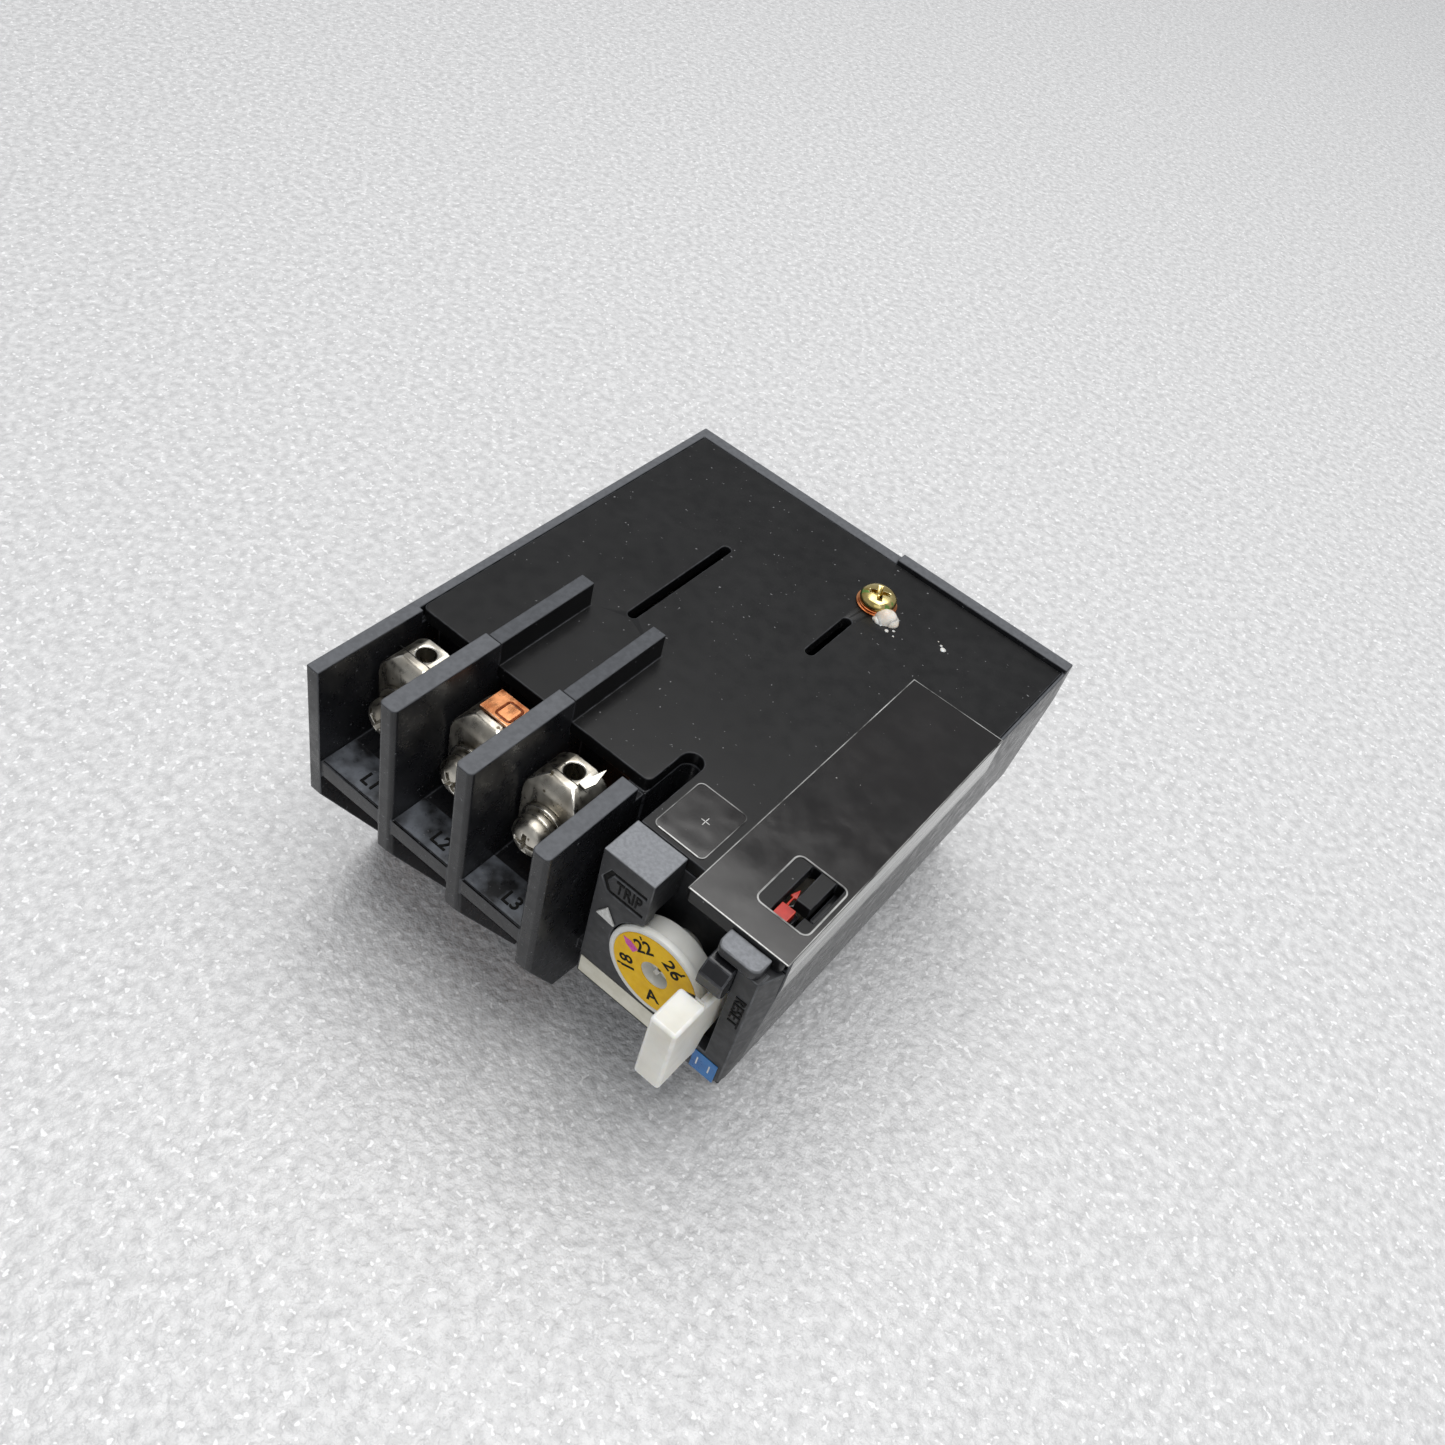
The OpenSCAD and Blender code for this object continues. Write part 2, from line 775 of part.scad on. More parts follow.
// A fixed contact blade with its rivet facing the moving one
module fixed_contact(x, side) {
    x0 = side > 0 ? x : x - 0.8;
    box(x0, x0 + 0.8, 44.9, 54, -24, -17);
    rivet_x = side > 0 ? x - 0.8 : x;
    translate([rivet_x, 47.4, -20.5]) rotate([0, 90, 0]) cylinder(r = 1.4, h = 0.8);
}

module closed_contact() {
    color("#c88a3e") frame() fixed_contact(rocker_pivot[0] + 0.9 + 0.15 + 0.8, 1);
}

module open_contact() {
    color("#c88a3e") frame() fixed_contact(rocker_pivot[0] - 0.9 - 2.6 - 0.8, -1);
}

module aux_terminal_plates() {
    color("#c6c2b6") frame() {
        for (i = [0:3]) {
            x = 43.6 + i * 4.6;
            difference() {
                box(x - 1.9, x + 1.9, 15.4, front_wall_y, -37.5, -28.2);
                rod_y(x, 14, -31.4, 1.35, 4);
            }
        }
    }
}

module aux_terminal_screws() {
    color("#cfccc2") frame() {
        for (i = [0:3]) {
            x = 43.6 + i * 4.6;
            difference() {
                union() {
                    rod_y(x, 13.7, -31.4, 1.85, 1.65);
                    rod_y(x, 15, -31.4, 1.25, 1.5);
                }
                translate([x, 13.7, -31.4]) cube([2.6, 1.4, 0.6], center = true);
            }
        }
    }
}

base_housing();
top_cover();
control_panel();
panel_label();
terminal_tag();
dial_pointer();
setting_dial();
dial_scale();
dial_cam();
adjusting_lever();
adjusting_pin();
reset_lever();
reset_spring();
lever_guide();
cover_tab();
test_slide();
test_spring();
label_film();
corner_film();
seal_screw();
seal_washer();
seal_drop();
terminal_lug(0);  // terminal_lug_1
terminal_lug(1);  // terminal_lug_2
terminal_lug(2);  // terminal_lug_3
terminal_screw(0);  // terminal_screw_1
terminal_screw(1);  // terminal_screw_2
terminal_screw(2);  // terminal_screw_3
screw_washers();
load_strip(0);  // load_strip_1
load_strip(1);  // load_strip_2
load_strip(2);  // load_strip_3
line_tongue(0);  // line_tongue_1
line_tongue(1);  // line_tongue_2
line_tongue(2);  // line_tongue_3
bimetal(0);  // bimetal_1
bimetal(1);  // bimetal_2
bimetal(2);  // bimetal_3
heater_coil(0);  // heater_coil_1
heater_coil(1);  // heater_coil_2
heater_coil(2);  // heater_coil_3
trip_slider();
phase_loss_slider();
trip_lever();
trip_lever_pin();
snap_spring();
contact_rocker();
rocker_pin();
moving_contact();
closed_contact();
open_contact();
aux_terminal_plates();
aux_terminal_screws();
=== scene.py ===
import json
import math

import bmesh
import bpy
from mathutils import Matrix, Vector, noise


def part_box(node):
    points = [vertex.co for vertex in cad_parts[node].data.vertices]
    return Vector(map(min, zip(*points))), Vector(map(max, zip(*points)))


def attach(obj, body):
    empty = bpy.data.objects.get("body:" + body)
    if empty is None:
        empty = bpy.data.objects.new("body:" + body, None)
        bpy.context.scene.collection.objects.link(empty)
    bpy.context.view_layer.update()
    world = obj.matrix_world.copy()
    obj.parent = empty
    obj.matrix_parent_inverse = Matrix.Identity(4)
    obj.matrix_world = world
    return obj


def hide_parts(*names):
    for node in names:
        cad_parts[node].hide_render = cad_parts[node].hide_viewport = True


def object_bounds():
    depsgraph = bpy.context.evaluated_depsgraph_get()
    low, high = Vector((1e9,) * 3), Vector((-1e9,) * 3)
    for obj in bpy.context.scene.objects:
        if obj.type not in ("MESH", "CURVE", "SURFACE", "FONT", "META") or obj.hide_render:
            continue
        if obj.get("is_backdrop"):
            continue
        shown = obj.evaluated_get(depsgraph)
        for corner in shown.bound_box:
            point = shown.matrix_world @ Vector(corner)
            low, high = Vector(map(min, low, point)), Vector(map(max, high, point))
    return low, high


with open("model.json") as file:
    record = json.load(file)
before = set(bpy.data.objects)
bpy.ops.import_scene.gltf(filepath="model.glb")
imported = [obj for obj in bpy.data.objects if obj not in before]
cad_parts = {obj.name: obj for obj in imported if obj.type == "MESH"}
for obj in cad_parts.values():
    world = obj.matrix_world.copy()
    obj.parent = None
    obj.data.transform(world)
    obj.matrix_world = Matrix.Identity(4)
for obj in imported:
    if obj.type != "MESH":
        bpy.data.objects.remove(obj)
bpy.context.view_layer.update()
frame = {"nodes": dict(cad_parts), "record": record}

scene = bpy.context.scene
mm = 0.001
record = frame["record"]
nodeBody = {n: body for body, members in record["behaviour"]["bodies"].items() for n in members}
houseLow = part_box("base_housing")[0]
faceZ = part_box("corner_film")[0].z  # outer face of the cover plate


def at(x, y, z):  # millimetres from the front left corner of the cover's face
    return Vector((houseLow.x + x * mm, houseLow.y + y * mm, faceZ + z * mm))


def away(point):  # the same, read back from a place in the frame
    return ((point.x - houseLow.x) / mm, (point.y - houseLow.y) / mm, (point.z - faceZ) / mm)


def middle(node):
    low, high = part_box(node)
    return (low + high) / 2


# ways to make and place a piece

def put(bm, name, body, material, sharp=40, level=True):
    mesh = bpy.data.meshes.new(name)
    bm.to_mesh(mesh)
    bm.free()
    for face in mesh.polygons:
        face.use_smooth = True
    mesh.set_sharp_from_angle(angle=math.radians(sharp))
    mesh.materials.append(material)
    piece = bpy.data.objects.new(name, mesh)
    scene.collection.objects.link(piece)
    if level:
        even = piece.modifiers.new("evenNormals", "WEIGHTED_NORMAL")
        even.keep_sharp = True
    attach(piece, body)
    return piece


def rounded(bm, width, segments=2, angle=32):
    edges = [e for e in bm.edges if len(e.link_faces) == 2 and e.calc_face_angle(0) > math.radians(angle)]
    wearAndHighlight = bm.faces.layers.float.get("edgeWearAndHighlight") or bm.faces.layers.float.new("edgeWearAndHighlight")
    made = bmesh.ops.bevel(bm, geom=edges, offset=width * mm, offset_type="OFFSET", affect="EDGES",
                           segments=segments, profile=0.5, material=-1, clamp_overlap=False)
    # faces made by the bevel are marked for a lighter edge colour: partly wear, partly painted highlight where
    # the edges catch the light
    for face in made["faces"]:
        face[wearAndHighlight] = 1.0
    return bm


def nodeCopy(node):
    bm = bmesh.new()
    bm.from_mesh(frame["nodes"][node].data)
    bmesh.ops.remove_doubles(bm, verts=bm.verts, dist=0.002 * mm)
    bmesh.ops.dissolve_limit(bm, angle_limit=math.radians(0.4), verts=bm.verts, edges=bm.edges,
                             use_dissolve_boundaries=False)
    bmesh.ops.triangulate(bm, faces=[f for f in bm.faces if len(f.verts) > 4])
    return bm


def softened(node, material, width, segments=2, name=None, topZ=None):
    bm = nodeCopy(node)
    top = bm.faces.layers.float.new("topFace")
    rounded(bm, width, segments)
    # upward faces above topZ are marked for a lighter colour, a painted highlight for the overhead light on the
    # tops
    if topZ is not None:
        for face in bm.faces:
            if face.normal.z > 0.6 and face.calc_center_median().z > topZ:
                face[top] = 1.0
    piece = put(bm, name or node + "_shown", nodeBody[node], material)
    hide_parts(node)
    return piece


def slab(x0, x1, y0, y1, z0, z1):
    bm = bmesh.new()
    size = Matrix.Diagonal(((x1 - x0) * mm, (y1 - y0) * mm, (z1 - z0) * mm, 1))
    centre = Matrix.Translation(at((x0 + x1) / 2, (y0 + y1) / 2, (z0 + z1) / 2))
    bmesh.ops.create_cube(bm, size=1, matrix=centre @ size)
    return bm


def raised(bm, faces, height):  # pulls the faces up along Z and closes the sides
    made = bmesh.ops.extrude_face_region(bm, geom=faces)
    verts = [v for v in made["geom"] if isinstance(v, bmesh.types.BMVert)]
    bmesh.ops.translate(bm, vec=(0, 0, height * mm), verts=verts)
    bmesh.ops.recalc_face_normals(bm, faces=bm.faces)
    return bm


def prism(outline, thickness):  # outline in X and Y, raised along Z, all in millimetres
    bm = bmesh.new()
    face = bm.faces.new([bm.verts.new((x * mm, y * mm, 0)) for x, y in outline])
    return raised(bm, [face], thickness)


def turned(profile, steps=56):  # profile of radius and height, spun about Z
    bm = bmesh.new()
    verts = [bm.verts.new((r * mm, 0, h * mm)) for r, h in profile]
    edges = [bm.edges.new(pair) for pair in zip(verts, verts[1:])]
    bmesh.ops.spin(bm, geom=verts + edges, cent=(0, 0, 0), axis=(0, 0, 1), dvec=(0, 0, 0),
                   angle=math.tau, steps=steps, use_merge=True)
    bmesh.ops.remove_doubles(bm, verts=bm.verts, dist=0.001 * mm)
    bmesh.ops.recalc_face_normals(bm, faces=bm.faces)
    return bm


def moved(bm, place, turn=(0, 0, 0)):
    spin = Matrix.Rotation(turn[2], 4, "Z")
    spin = spin @ Matrix.Rotation(turn[1], 4, "Y") @ Matrix.Rotation(turn[0], 4, "X")
    bmesh.ops.transform(bm, matrix=Matrix.Translation(place) @ spin, verts=bm.verts)
    return bm


def joined(*parts):
    whole = bmesh.new()
    for bm in parts:
        loose = bpy.data.meshes.new("loose")
        bm.to_mesh(loose)
        bm.free()
        whole.from_mesh(loose)
        bpy.data.meshes.remove(loose)
    return whole


def evaluated(holder):  # the object's mesh with its modifiers or text applied
    return bpy.data.meshes.new_from_object(holder.evaluated_get(bpy.context.evaluated_depsgraph_get()))


def carved(bm, cutter):  # what is left of bm once cutter is taken out of it
    holders = []
    for shape in (bm, cutter):
        mesh = bpy.data.meshes.new("carving")
        shape.to_mesh(mesh)
        shape.free()
        holder = bpy.data.objects.new("carving", mesh)
        scene.collection.objects.link(holder)
        holders.append(holder)
    cut = holders[0].modifiers.new("cut", "BOOLEAN")
    cut.operation, cut.solver, cut.object = "DIFFERENCE", "EXACT", holders[1]
    made = evaluated(holders[0])
    left = bmesh.new()
    left.from_mesh(made)
    bpy.data.meshes.remove(made)
    for holder in holders:
        mesh = holder.data
        bpy.data.objects.remove(holder)
        bpy.data.meshes.remove(mesh)
    return left


def lettering(words, height, depth, thin=0.0):
    curve = bpy.data.curves.new("lettering", "FONT")
    curve.body = words
    curve.size = height * mm
    curve.align_x, curve.align_y = "CENTER", "CENTER"
    curve.extrude = depth * mm / 2
    curve.offset = -thin * mm
    curve.resolution_u = 5
    holder = bpy.data.objects.new("lettering", curve)
    scene.collection.objects.link(holder)
    made = evaluated(holder)
    bm = bmesh.new()
    bm.from_mesh(made)
    bpy.data.objects.remove(holder)
    bpy.data.curves.remove(curve)
    bpy.data.meshes.remove(made)
    bmesh.ops.remove_doubles(bm, verts=bm.verts, dist=0.002 * mm)
    return bm


def roundedBox(x, y, w, l, r, steps=6):
    points = []
    left, right, front, back = x + r, x + w - r, y + r, y + l - r
    for cx, cy, start in ((right, front, -90), (right, back, 0), (left, back, 90), (left, front, 180)):
        for k in range(steps + 1):
            a = math.radians(start + 90 * k / steps)
            points.append((cx + r * math.cos(a), cy + r * math.sin(a)))
    return points


def rim(outline, width, height, z):  # thin bright line along a closed outline
    outer = bmesh.new()
    ring = [outer.verts.new(at(x, y, z)) for x, y in outline]
    face = outer.faces.new(ring)
    face.normal_update()
    bmesh.ops.inset_region(outer, faces=[face], use_boundary=True, use_even_offset=True,
                           thickness=width * mm, depth=0)
    bmesh.ops.delete(outer, geom=[face], context="FACES_ONLY")
    return raised(outer, outer.faces[:], height)


# one recipe for every finish: mottled colour, uneven gloss, grain, specks, edges lightened for wear and painted
# highlight, and top faces lightened as a painted highlight

def finish(name, look):
    mat = bpy.data.materials.new(name)
    mat.use_nodes = True
    nodes, links = mat.node_tree.nodes, mat.node_tree.links
    shader = nodes["Principled BSDF"]
    coords = nodes.new("ShaderNodeTexCoord")
    spots = {}

    def stretched(scale):
        if scale not in spots:
            turn = nodes.new("ShaderNodeMapping")
            turn.inputs["Scale"].default_value = scale
            links.new(coords.outputs["Object"], turn.inputs["Vector"])
            spots[scale] = turn.outputs["Vector"]
        return spots[scale]

    def cloud(scale, detail=2.0, stretch=(1, 1, 1)):
        tex = nodes.new("ShaderNodeTexNoise")
        tex.inputs["Scale"].default_value = scale
        tex.inputs["Detail"].default_value = detail
        links.new(stretched(stretch), tex.inputs["Vector"])
        return tex.outputs["Fac"]

    def ranged(value, low, high, fromLow=0.35, fromHigh=0.65):
        node = nodes.new("ShaderNodeMapRange")
        limits = (("From Min", fromLow), ("From Max", fromHigh), ("To Min", low), ("To Max", high))
        for key, number in limits:
            node.inputs[key].default_value = number
        links.new(value, node.inputs["Value"])
        return node.outputs["Result"]

    def mixed(factor, a, b, kind="RGBA"):
        node = nodes.new("ShaderNodeMix")
        node.data_type = kind
        first, second, out = (6, 7, 2) if kind == "RGBA" else (2, 3, 0)
        for index, value in ((0, factor), (first, a), (second, b)):
            if isinstance(value, bpy.types.NodeSocket):
                links.new(value, node.inputs[index])
            elif isinstance(value, tuple):
                node.inputs[index].default_value = (*value, 1)
            else:
                node.inputs[index].default_value = value
        return node.outputs[out]

    def times(a, b):
        node = nodes.new("ShaderNodeMath")
        node.operation = "MULTIPLY"
        links.new(a, node.inputs[0])
        links.new(b, node.inputs[1])
        return node.outputs[0]

    def marked(attribute):
        node = nodes.new("ShaderNodeAttribute")
        node.attribute_name = attribute
        return node.outputs["Fac"]

    stretch = look.get("stretch", (1, 1, 1))
    mottle = ranged(cloud(look["mottleScale"], 4.0, stretch), 0, 1)
    colour = mixed(mottle, look["dark"], look["light"])
    rough = ranged(cloud(look["roughScale"], 3.0, stretch), look["roughLow"], look["roughHigh"])
    if "speck" in look:
        start, softness = look["speckFrom"], 0.04
        specks = ranged(cloud(look["speckScale"], 1.0), 0, 1, start, start + softness)
        colour = mixed(specks, colour, look["speck"])
    # marked top faces get a lighter colour: a painted highlight for the light falling on the tops
    if "top" in look:
        face = times(marked("topFace"), ranged(cloud(look["topScale"], 3.0), 0.76, 1))
        colour = mixed(face, colour, look["top"])
        rough = mixed(marked("topFace"), rough, look["topRough"], "FLOAT")
    # bevelled edges get a lighter colour: partly wear, partly painted highlight
    if "wearAndHighlight" in look:
        wornAndHighlight = times(marked("edgeWearAndHighlight"), ranged(cloud(look.get("wearScale", 700), 3.0), 0.15, 1))
        colour = mixed(wornAndHighlight, colour, look["wearAndHighlight"])
        rough = mixed(wornAndHighlight, rough, look.get("wearRough", 0.45), "FLOAT")
    links.new(colour, shader.inputs["Base Color"])
    links.new(rough, shader.inputs["Roughness"])
    normal = None
    for scale, depth, detail, along in look.get("bumps", ()):
        bump = nodes.new("ShaderNodeBump")
        bump.inputs["Distance"].default_value = depth * mm
        links.new(cloud(scale, detail, along), bump.inputs["Height"])
        if normal:
            links.new(normal, bump.inputs["Normal"])
        normal = bump.outputs["Normal"]
    if normal:
        links.new(normal, shader.inputs["Normal"])
    for socket, value in look.get("sockets", {}).items():
        shader.inputs[socket].default_value = value
    return mat


evenly = (1, 1, 1)
# each look's "top" colour is a painted highlight for the lit upper faces of housing, cover ribs and panel
housingLook = {
    "dark": (0.009, 0.0095, 0.011), "light": (0.016, 0.0165, 0.019), "mottleScale": 160,
    "roughLow": 0.24, "roughHigh": 0.38, "roughScale": 700,
    "speck": (0.16, 0.165, 0.175), "speckScale": 2600, "speckFrom": 0.735,
    "top": (0.12, 0.126, 0.138), "topScale": 1500, "topRough": 0.62,
    "wearAndHighlight": (0.07, 0.074, 0.083), "wearRough": 0.5,
    "bumps": ((3200, 0.005, 2.0, evenly), (300, 0.003, 2.0, evenly)),
    "sockets": {"Specular IOR Level": 0.4},
}
coverLook = {
    "dark": (0.004, 0.004, 0.0044), "light": (0.0075, 0.0075, 0.008), "mottleScale": 90,
    "roughLow": 0.3, "roughHigh": 0.4, "roughScale": 500,
    "speck": (0.2, 0.2, 0.205), "speckScale": 1900, "speckFrom": 0.765,
    "top": (0.085, 0.09, 0.1), "topScale": 1500, "topRough": 0.62,
    "wearAndHighlight": (0.045, 0.047, 0.052), "wearRough": 0.45,
    "bumps": ((4200, 0.005, 1.0, evenly), (140, 0.012, 2.0, evenly)),
    "sockets": {"Specular IOR Level": 0.32},
}
panelLook = {
    "dark": (0.016, 0.0165, 0.0185), "light": (0.026, 0.027, 0.03), "mottleScale": 240,
    "roughLow": 0.42, "roughHigh": 0.56, "roughScale": 900,
    "speck": (0.14, 0.145, 0.15), "speckScale": 2600, "speckFrom": 0.75,
    "top": (0.26, 0.27, 0.29), "topScale": 2200, "topRough": 0.7,
    "wearAndHighlight": (0.1, 0.105, 0.112), "wearRough": 0.5,
    "bumps": ((4200, 0.008, 2.0, evenly),),
}
glossBlackLook = {
    "dark": (0.006, 0.006, 0.007), "light": (0.012, 0.012, 0.014), "mottleScale": 300,
    "roughLow": 0.1, "roughHigh": 0.22, "roughScale": 600,
    "wearAndHighlight": (0.05, 0.052, 0.058), "wearRough": 0.3,
    "bumps": ((500, 0.008, 2.0, evenly),),
}
filmLook = {
    "dark": (0.0042, 0.0033, 0.0031), "light": (0.0085, 0.0068, 0.0065), "mottleScale": 120,
    "roughLow": 0.13, "roughHigh": 0.22, "roughScale": 300, "wearAndHighlight": (0.4, 0.38, 0.37), "wearRough": 0.2,
    "speck": (0.3, 0.29, 0.28), "speckScale": 1500, "speckFrom": 0.79,
    "bumps": ((620, 0.0055, 2.0, evenly), (160, 0.02, 1.0, evenly)),
    "sockets": {"Coat Weight": 0.25, "Coat Roughness": 0.08},
}
nickelLook = {
    "dark": (0.3, 0.275, 0.23), "light": (0.66, 0.63, 0.56), "mottleScale": 240,
    "stretch": (1, 1, 0.25),
    "roughLow": 0.24, "roughHigh": 0.44, "roughScale": 1100,
    "speck": (0.12, 0.1, 0.07), "speckScale": 900, "speckFrom": 0.7,
    "wearAndHighlight": (0.9, 0.87, 0.8), "wearRough": 0.14, "wearScale": 900,
    "bumps": ((900, 0.012, 3.0, (1, 1, 0.12)), (260, 0.02, 2.0, evenly)),
    "sockets": {"Metallic": 1.0},
}
copperLook = {
    "dark": (0.34, 0.1, 0.035), "light": (0.86, 0.38, 0.17), "mottleScale": 420,
    "roughLow": 0.16, "roughHigh": 0.4, "roughScale": 800,
    "wearAndHighlight": (1.0, 0.72, 0.52), "wearRough": 0.15, "wearScale": 800,
    "bumps": ((1200, 0.012, 3.0, (1, 0.2, 1)), (300, 0.02, 2.0, evenly)),
    "sockets": {"Metallic": 1.0},
}
zincLook = {
    "dark": (0.45, 0.33, 0.09), "light": (0.86, 0.72, 0.34), "mottleScale": 500,
    "roughLow": 0.12, "roughHigh": 0.3, "roughScale": 900,
    "speck": (0.25, 0.45, 0.12), "speckScale": 600, "speckFrom": 0.62,
    "wearAndHighlight": (0.98, 0.9, 0.6), "wearRough": 0.12, "wearScale": 900,
    "bumps": ((700, 0.01, 3.0, evenly),),
    "sockets": {"Metallic": 1.0},
}
steelLook = {
    "dark": (0.33, 0.33, 0.33), "light": (0.6, 0.6, 0.59), "mottleScale": 300,
    "stretch": (1, 1, 0.2),
    "roughLow": 0.22, "roughHigh": 0.42, "roughScale": 900,
    "wearAndHighlight": (0.8, 0.8, 0.8), "wearRough": 0.2,
    "bumps": ((1500, 0.006, 3.0, (1, 1, 0.1)),),
    "sockets": {"Metallic": 1.0},
}
brassLook = {
    "dark": (0.42, 0.26, 0.08), "light": (0.8, 0.55, 0.24), "mottleScale": 420,
    "stretch": (1, 0.2, 1),
    "roughLow": 0.2, "roughHigh": 0.38, "roughScale": 900,
    "wearAndHighlight": (0.95, 0.75, 0.4), "wearRough": 0.18,
    "bumps": ((1500, 0.006, 3.0, (1, 0.1, 1)),),
    "sockets": {"Metallic": 1.0},
}
whiteLook = {
    "dark": (0.66, 0.66, 0.62), "light": (0.78, 0.78, 0.745), "mottleScale": 260,
    "roughLow": 0.3, "roughHigh": 0.42, "roughScale": 900,
    "wearAndHighlight": (0.86, 0.86, 0.83), "wearRough": 0.35,
    "bumps": ((2600, 0.003, 2.0, evenly),),
    "sockets": {"Subsurface Weight": 0.35,
                "Subsurface Radius": (1.0, 0.9, 0.75), "Subsurface Scale": 0.0012},
}
ivoryLook = {
    "dark": (0.72, 0.7, 0.63), "light": (0.84, 0.83, 0.77), "mottleScale": 200,
    "roughLow": 0.34, "roughHigh": 0.46, "roughScale": 900,
    "wearAndHighlight": (0.9, 0.89, 0.85), "wearRough": 0.35,
    "bumps": ((2400, 0.003, 2.0, evenly), (350, 0.012, 2.0, evenly)),
    "sockets": {"Subsurface Weight": 0.6,
                "Subsurface Radius": (1.0, 0.85, 0.6), "Subsurface Scale": 0.0022},
}
yellowLook = {
    "dark": (0.86, 0.49, 0.004), "light": (0.95, 0.58, 0.008), "mottleScale": 700,
    "roughLow": 0.36, "roughHigh": 0.52, "roughScale": 1200,
    "speck": (0.6, 0.33, 0.02), "speckScale": 2400, "speckFrom": 0.76,
    "bumps": ((3000, 0.003, 2.0, evenly),),
    "sockets": {"Specular IOR Level": 0.2},
}
inkLook = {
    "dark": (0.003, 0.003, 0.003), "light": (0.008, 0.008, 0.007), "mottleScale": 2500,
    "roughLow": 0.5, "roughHigh": 0.7, "roughScale": 2000, "bumps": ((4000, 0.002, 1.0, evenly),),
    "sockets": {"Specular IOR Level": 0.15},
}
magentaLook = dict(inkLook, dark=(0.58, 0.08, 0.36), light=(0.72, 0.16, 0.5))
# pale ink serves the printed marks and also the painted highlights of the film glints
paleInkAndHighlightLook = dict(inkLook, dark=(0.6, 0.6, 0.58), light=(0.78, 0.78, 0.76))
# film edge lines: light mottled colour painted as the highlight of the cut edges
paintedEdgeHighlightLook = dict(inkLook, dark=(0.03, 0.03, 0.029), light=(0.5, 0.5, 0.49), mottleScale=230)
redLook = {
    "dark": (0.36, 0.012, 0.007), "light": (0.5, 0.024, 0.014), "mottleScale": 800,
    "roughLow": 0.28, "roughHigh": 0.42, "roughScale": 1200,
    "wearAndHighlight": (0.7, 0.1, 0.06), "wearRough": 0.3,
    "bumps": ((2600, 0.004, 2.0, evenly),),
    "sockets": {"Subsurface Weight": 0.15,
                "Subsurface Radius": (1.0, 0.3, 0.2), "Subsurface Scale": 0.0006},
}
darkCopperLook = dict(copperLook, dark=(0.07, 0.015, 0.006), light=(0.24, 0.06, 0.022))
# the sill steps' light mottled patches are a painted sheen, a reflection on the front of the chamber floors
sillLook = dict(housingLook, dark=(0.012, 0.0125, 0.014), light=(0.15, 0.163, 0.185),
                mottleScale=330, roughLow=0.25)
labelLook = {
    "dark": (0.68, 0.65, 0.53), "light": (0.78, 0.755, 0.64), "mottleScale": 600,
    "roughLow": 0.3, "roughHigh": 0.42, "roughScale": 1300,
    "wearAndHighlight": (0.85, 0.83, 0.75), "wearRough": 0.4,
    "bumps": ((2500, 0.003, 2.0, evenly), (250, 0.012, 2.0, evenly)),
}
blueLook = {
    "dark": (0.012, 0.11, 0.34), "light": (0.02, 0.17, 0.46), "mottleScale": 500,
    "roughLow": 0.25, "roughHigh": 0.4, "roughScale": 1000,
    "wearAndHighlight": (0.06, 0.28, 0.6), "wearRough": 0.3,
    "bumps": ((1800, 0.003, 2.0, evenly),),
}
lacquerLook = {
    "dark": (0.7, 0.6, 0.5), "light": (0.86, 0.82, 0.76), "mottleScale": 500,
    "roughLow": 0.16, "roughHigh": 0.36, "roughScale": 700, "bumps": ((900, 0.03, 3.0, evenly),),
    "sockets": {"Subsurface Weight": 0.5,
                "Subsurface Radius": (1.0, 0.75, 0.6), "Subsurface Scale": 0.0008},
}
sleeveLook = {
    "dark": (0.45, 0.41, 0.33), "light": (0.66, 0.62, 0.52), "mottleScale": 900,
    "stretch": (1, 4, 1),
    "roughLow": 0.7, "roughHigh": 0.9, "roughScale": 900,
    "wearAndHighlight": (0.5, 0.47, 0.4), "wearRough": 0.8,
    "bumps": ((1600, 0.05, 2.0, (1, 4, 1)),),
}
creamLook = {
    "dark": (0.55, 0.5, 0.38), "light": (0.66, 0.61, 0.48), "mottleScale": 260,
    "roughLow": 0.4, "roughHigh": 0.55, "roughScale": 800,
    "wearAndHighlight": (0.72, 0.68, 0.56), "wearRough": 0.4,
    "bumps": ((2600, 0.004, 2.0, evenly),),
}
# grey streaks on the side label are painted reflections of the bright floor on the glossy black side
paintedReflectionSideLook = {
    "dark": (0.2, 0.2, 0.195), "light": (0.72, 0.72, 0.7), "mottleScale": 420,
    "stretch": (1, 0.03, 1),
    "roughLow": 0.2, "roughHigh": 0.4, "roughScale": 600,
    "wearAndHighlight": (0.75, 0.75, 0.73), "wearRough": 0.2,
    "bumps": ((900, 0.02, 2.0, (1, 0.04, 1)),),
}

housingPlastic = finish("housingPlastic", housingLook)
coverPlastic = finish("coverPlastic", coverLook)
panelPlastic = finish("panelPlastic", panelLook)
glossBlack = finish("glossBlack", glossBlackLook)
clearFilm = finish("clearFilm", filmLook)
paintedReflectionSide = finish("paintedReflectionSide", paintedReflectionSideLook)
wornNickel = finish("wornNickel", nickelLook)
bareCopper = finish("bareCopper", copperLook)
darkCopper = finish("darkCopper", darkCopperLook)
yellowZinc = finish("yellowZinc", zincLook)
springSteel = finish("springSteel", steelLook)
rolledBrass = finish("rolledBrass", brassLook)
whitePlastic = finish("whitePlastic", whiteLook)
ivoryPlastic = finish("ivoryPlastic", ivoryLook)
yellowDisc = finish("yellowDisc", yellowLook)
paintedSheenSill = finish("paintedSheenSill", sillLook)
blackInk = finish("blackInk", inkLook)
magentaInk = finish("magentaInk", magentaLook)
paleInkAndHighlight = finish("paleInkAndHighlight", paleInkAndHighlightLook)
paintedEdgeHighlight = finish("paintedEdgeHighlight", paintedEdgeHighlightLook)
redPlastic = finish("redPlastic", redLook)
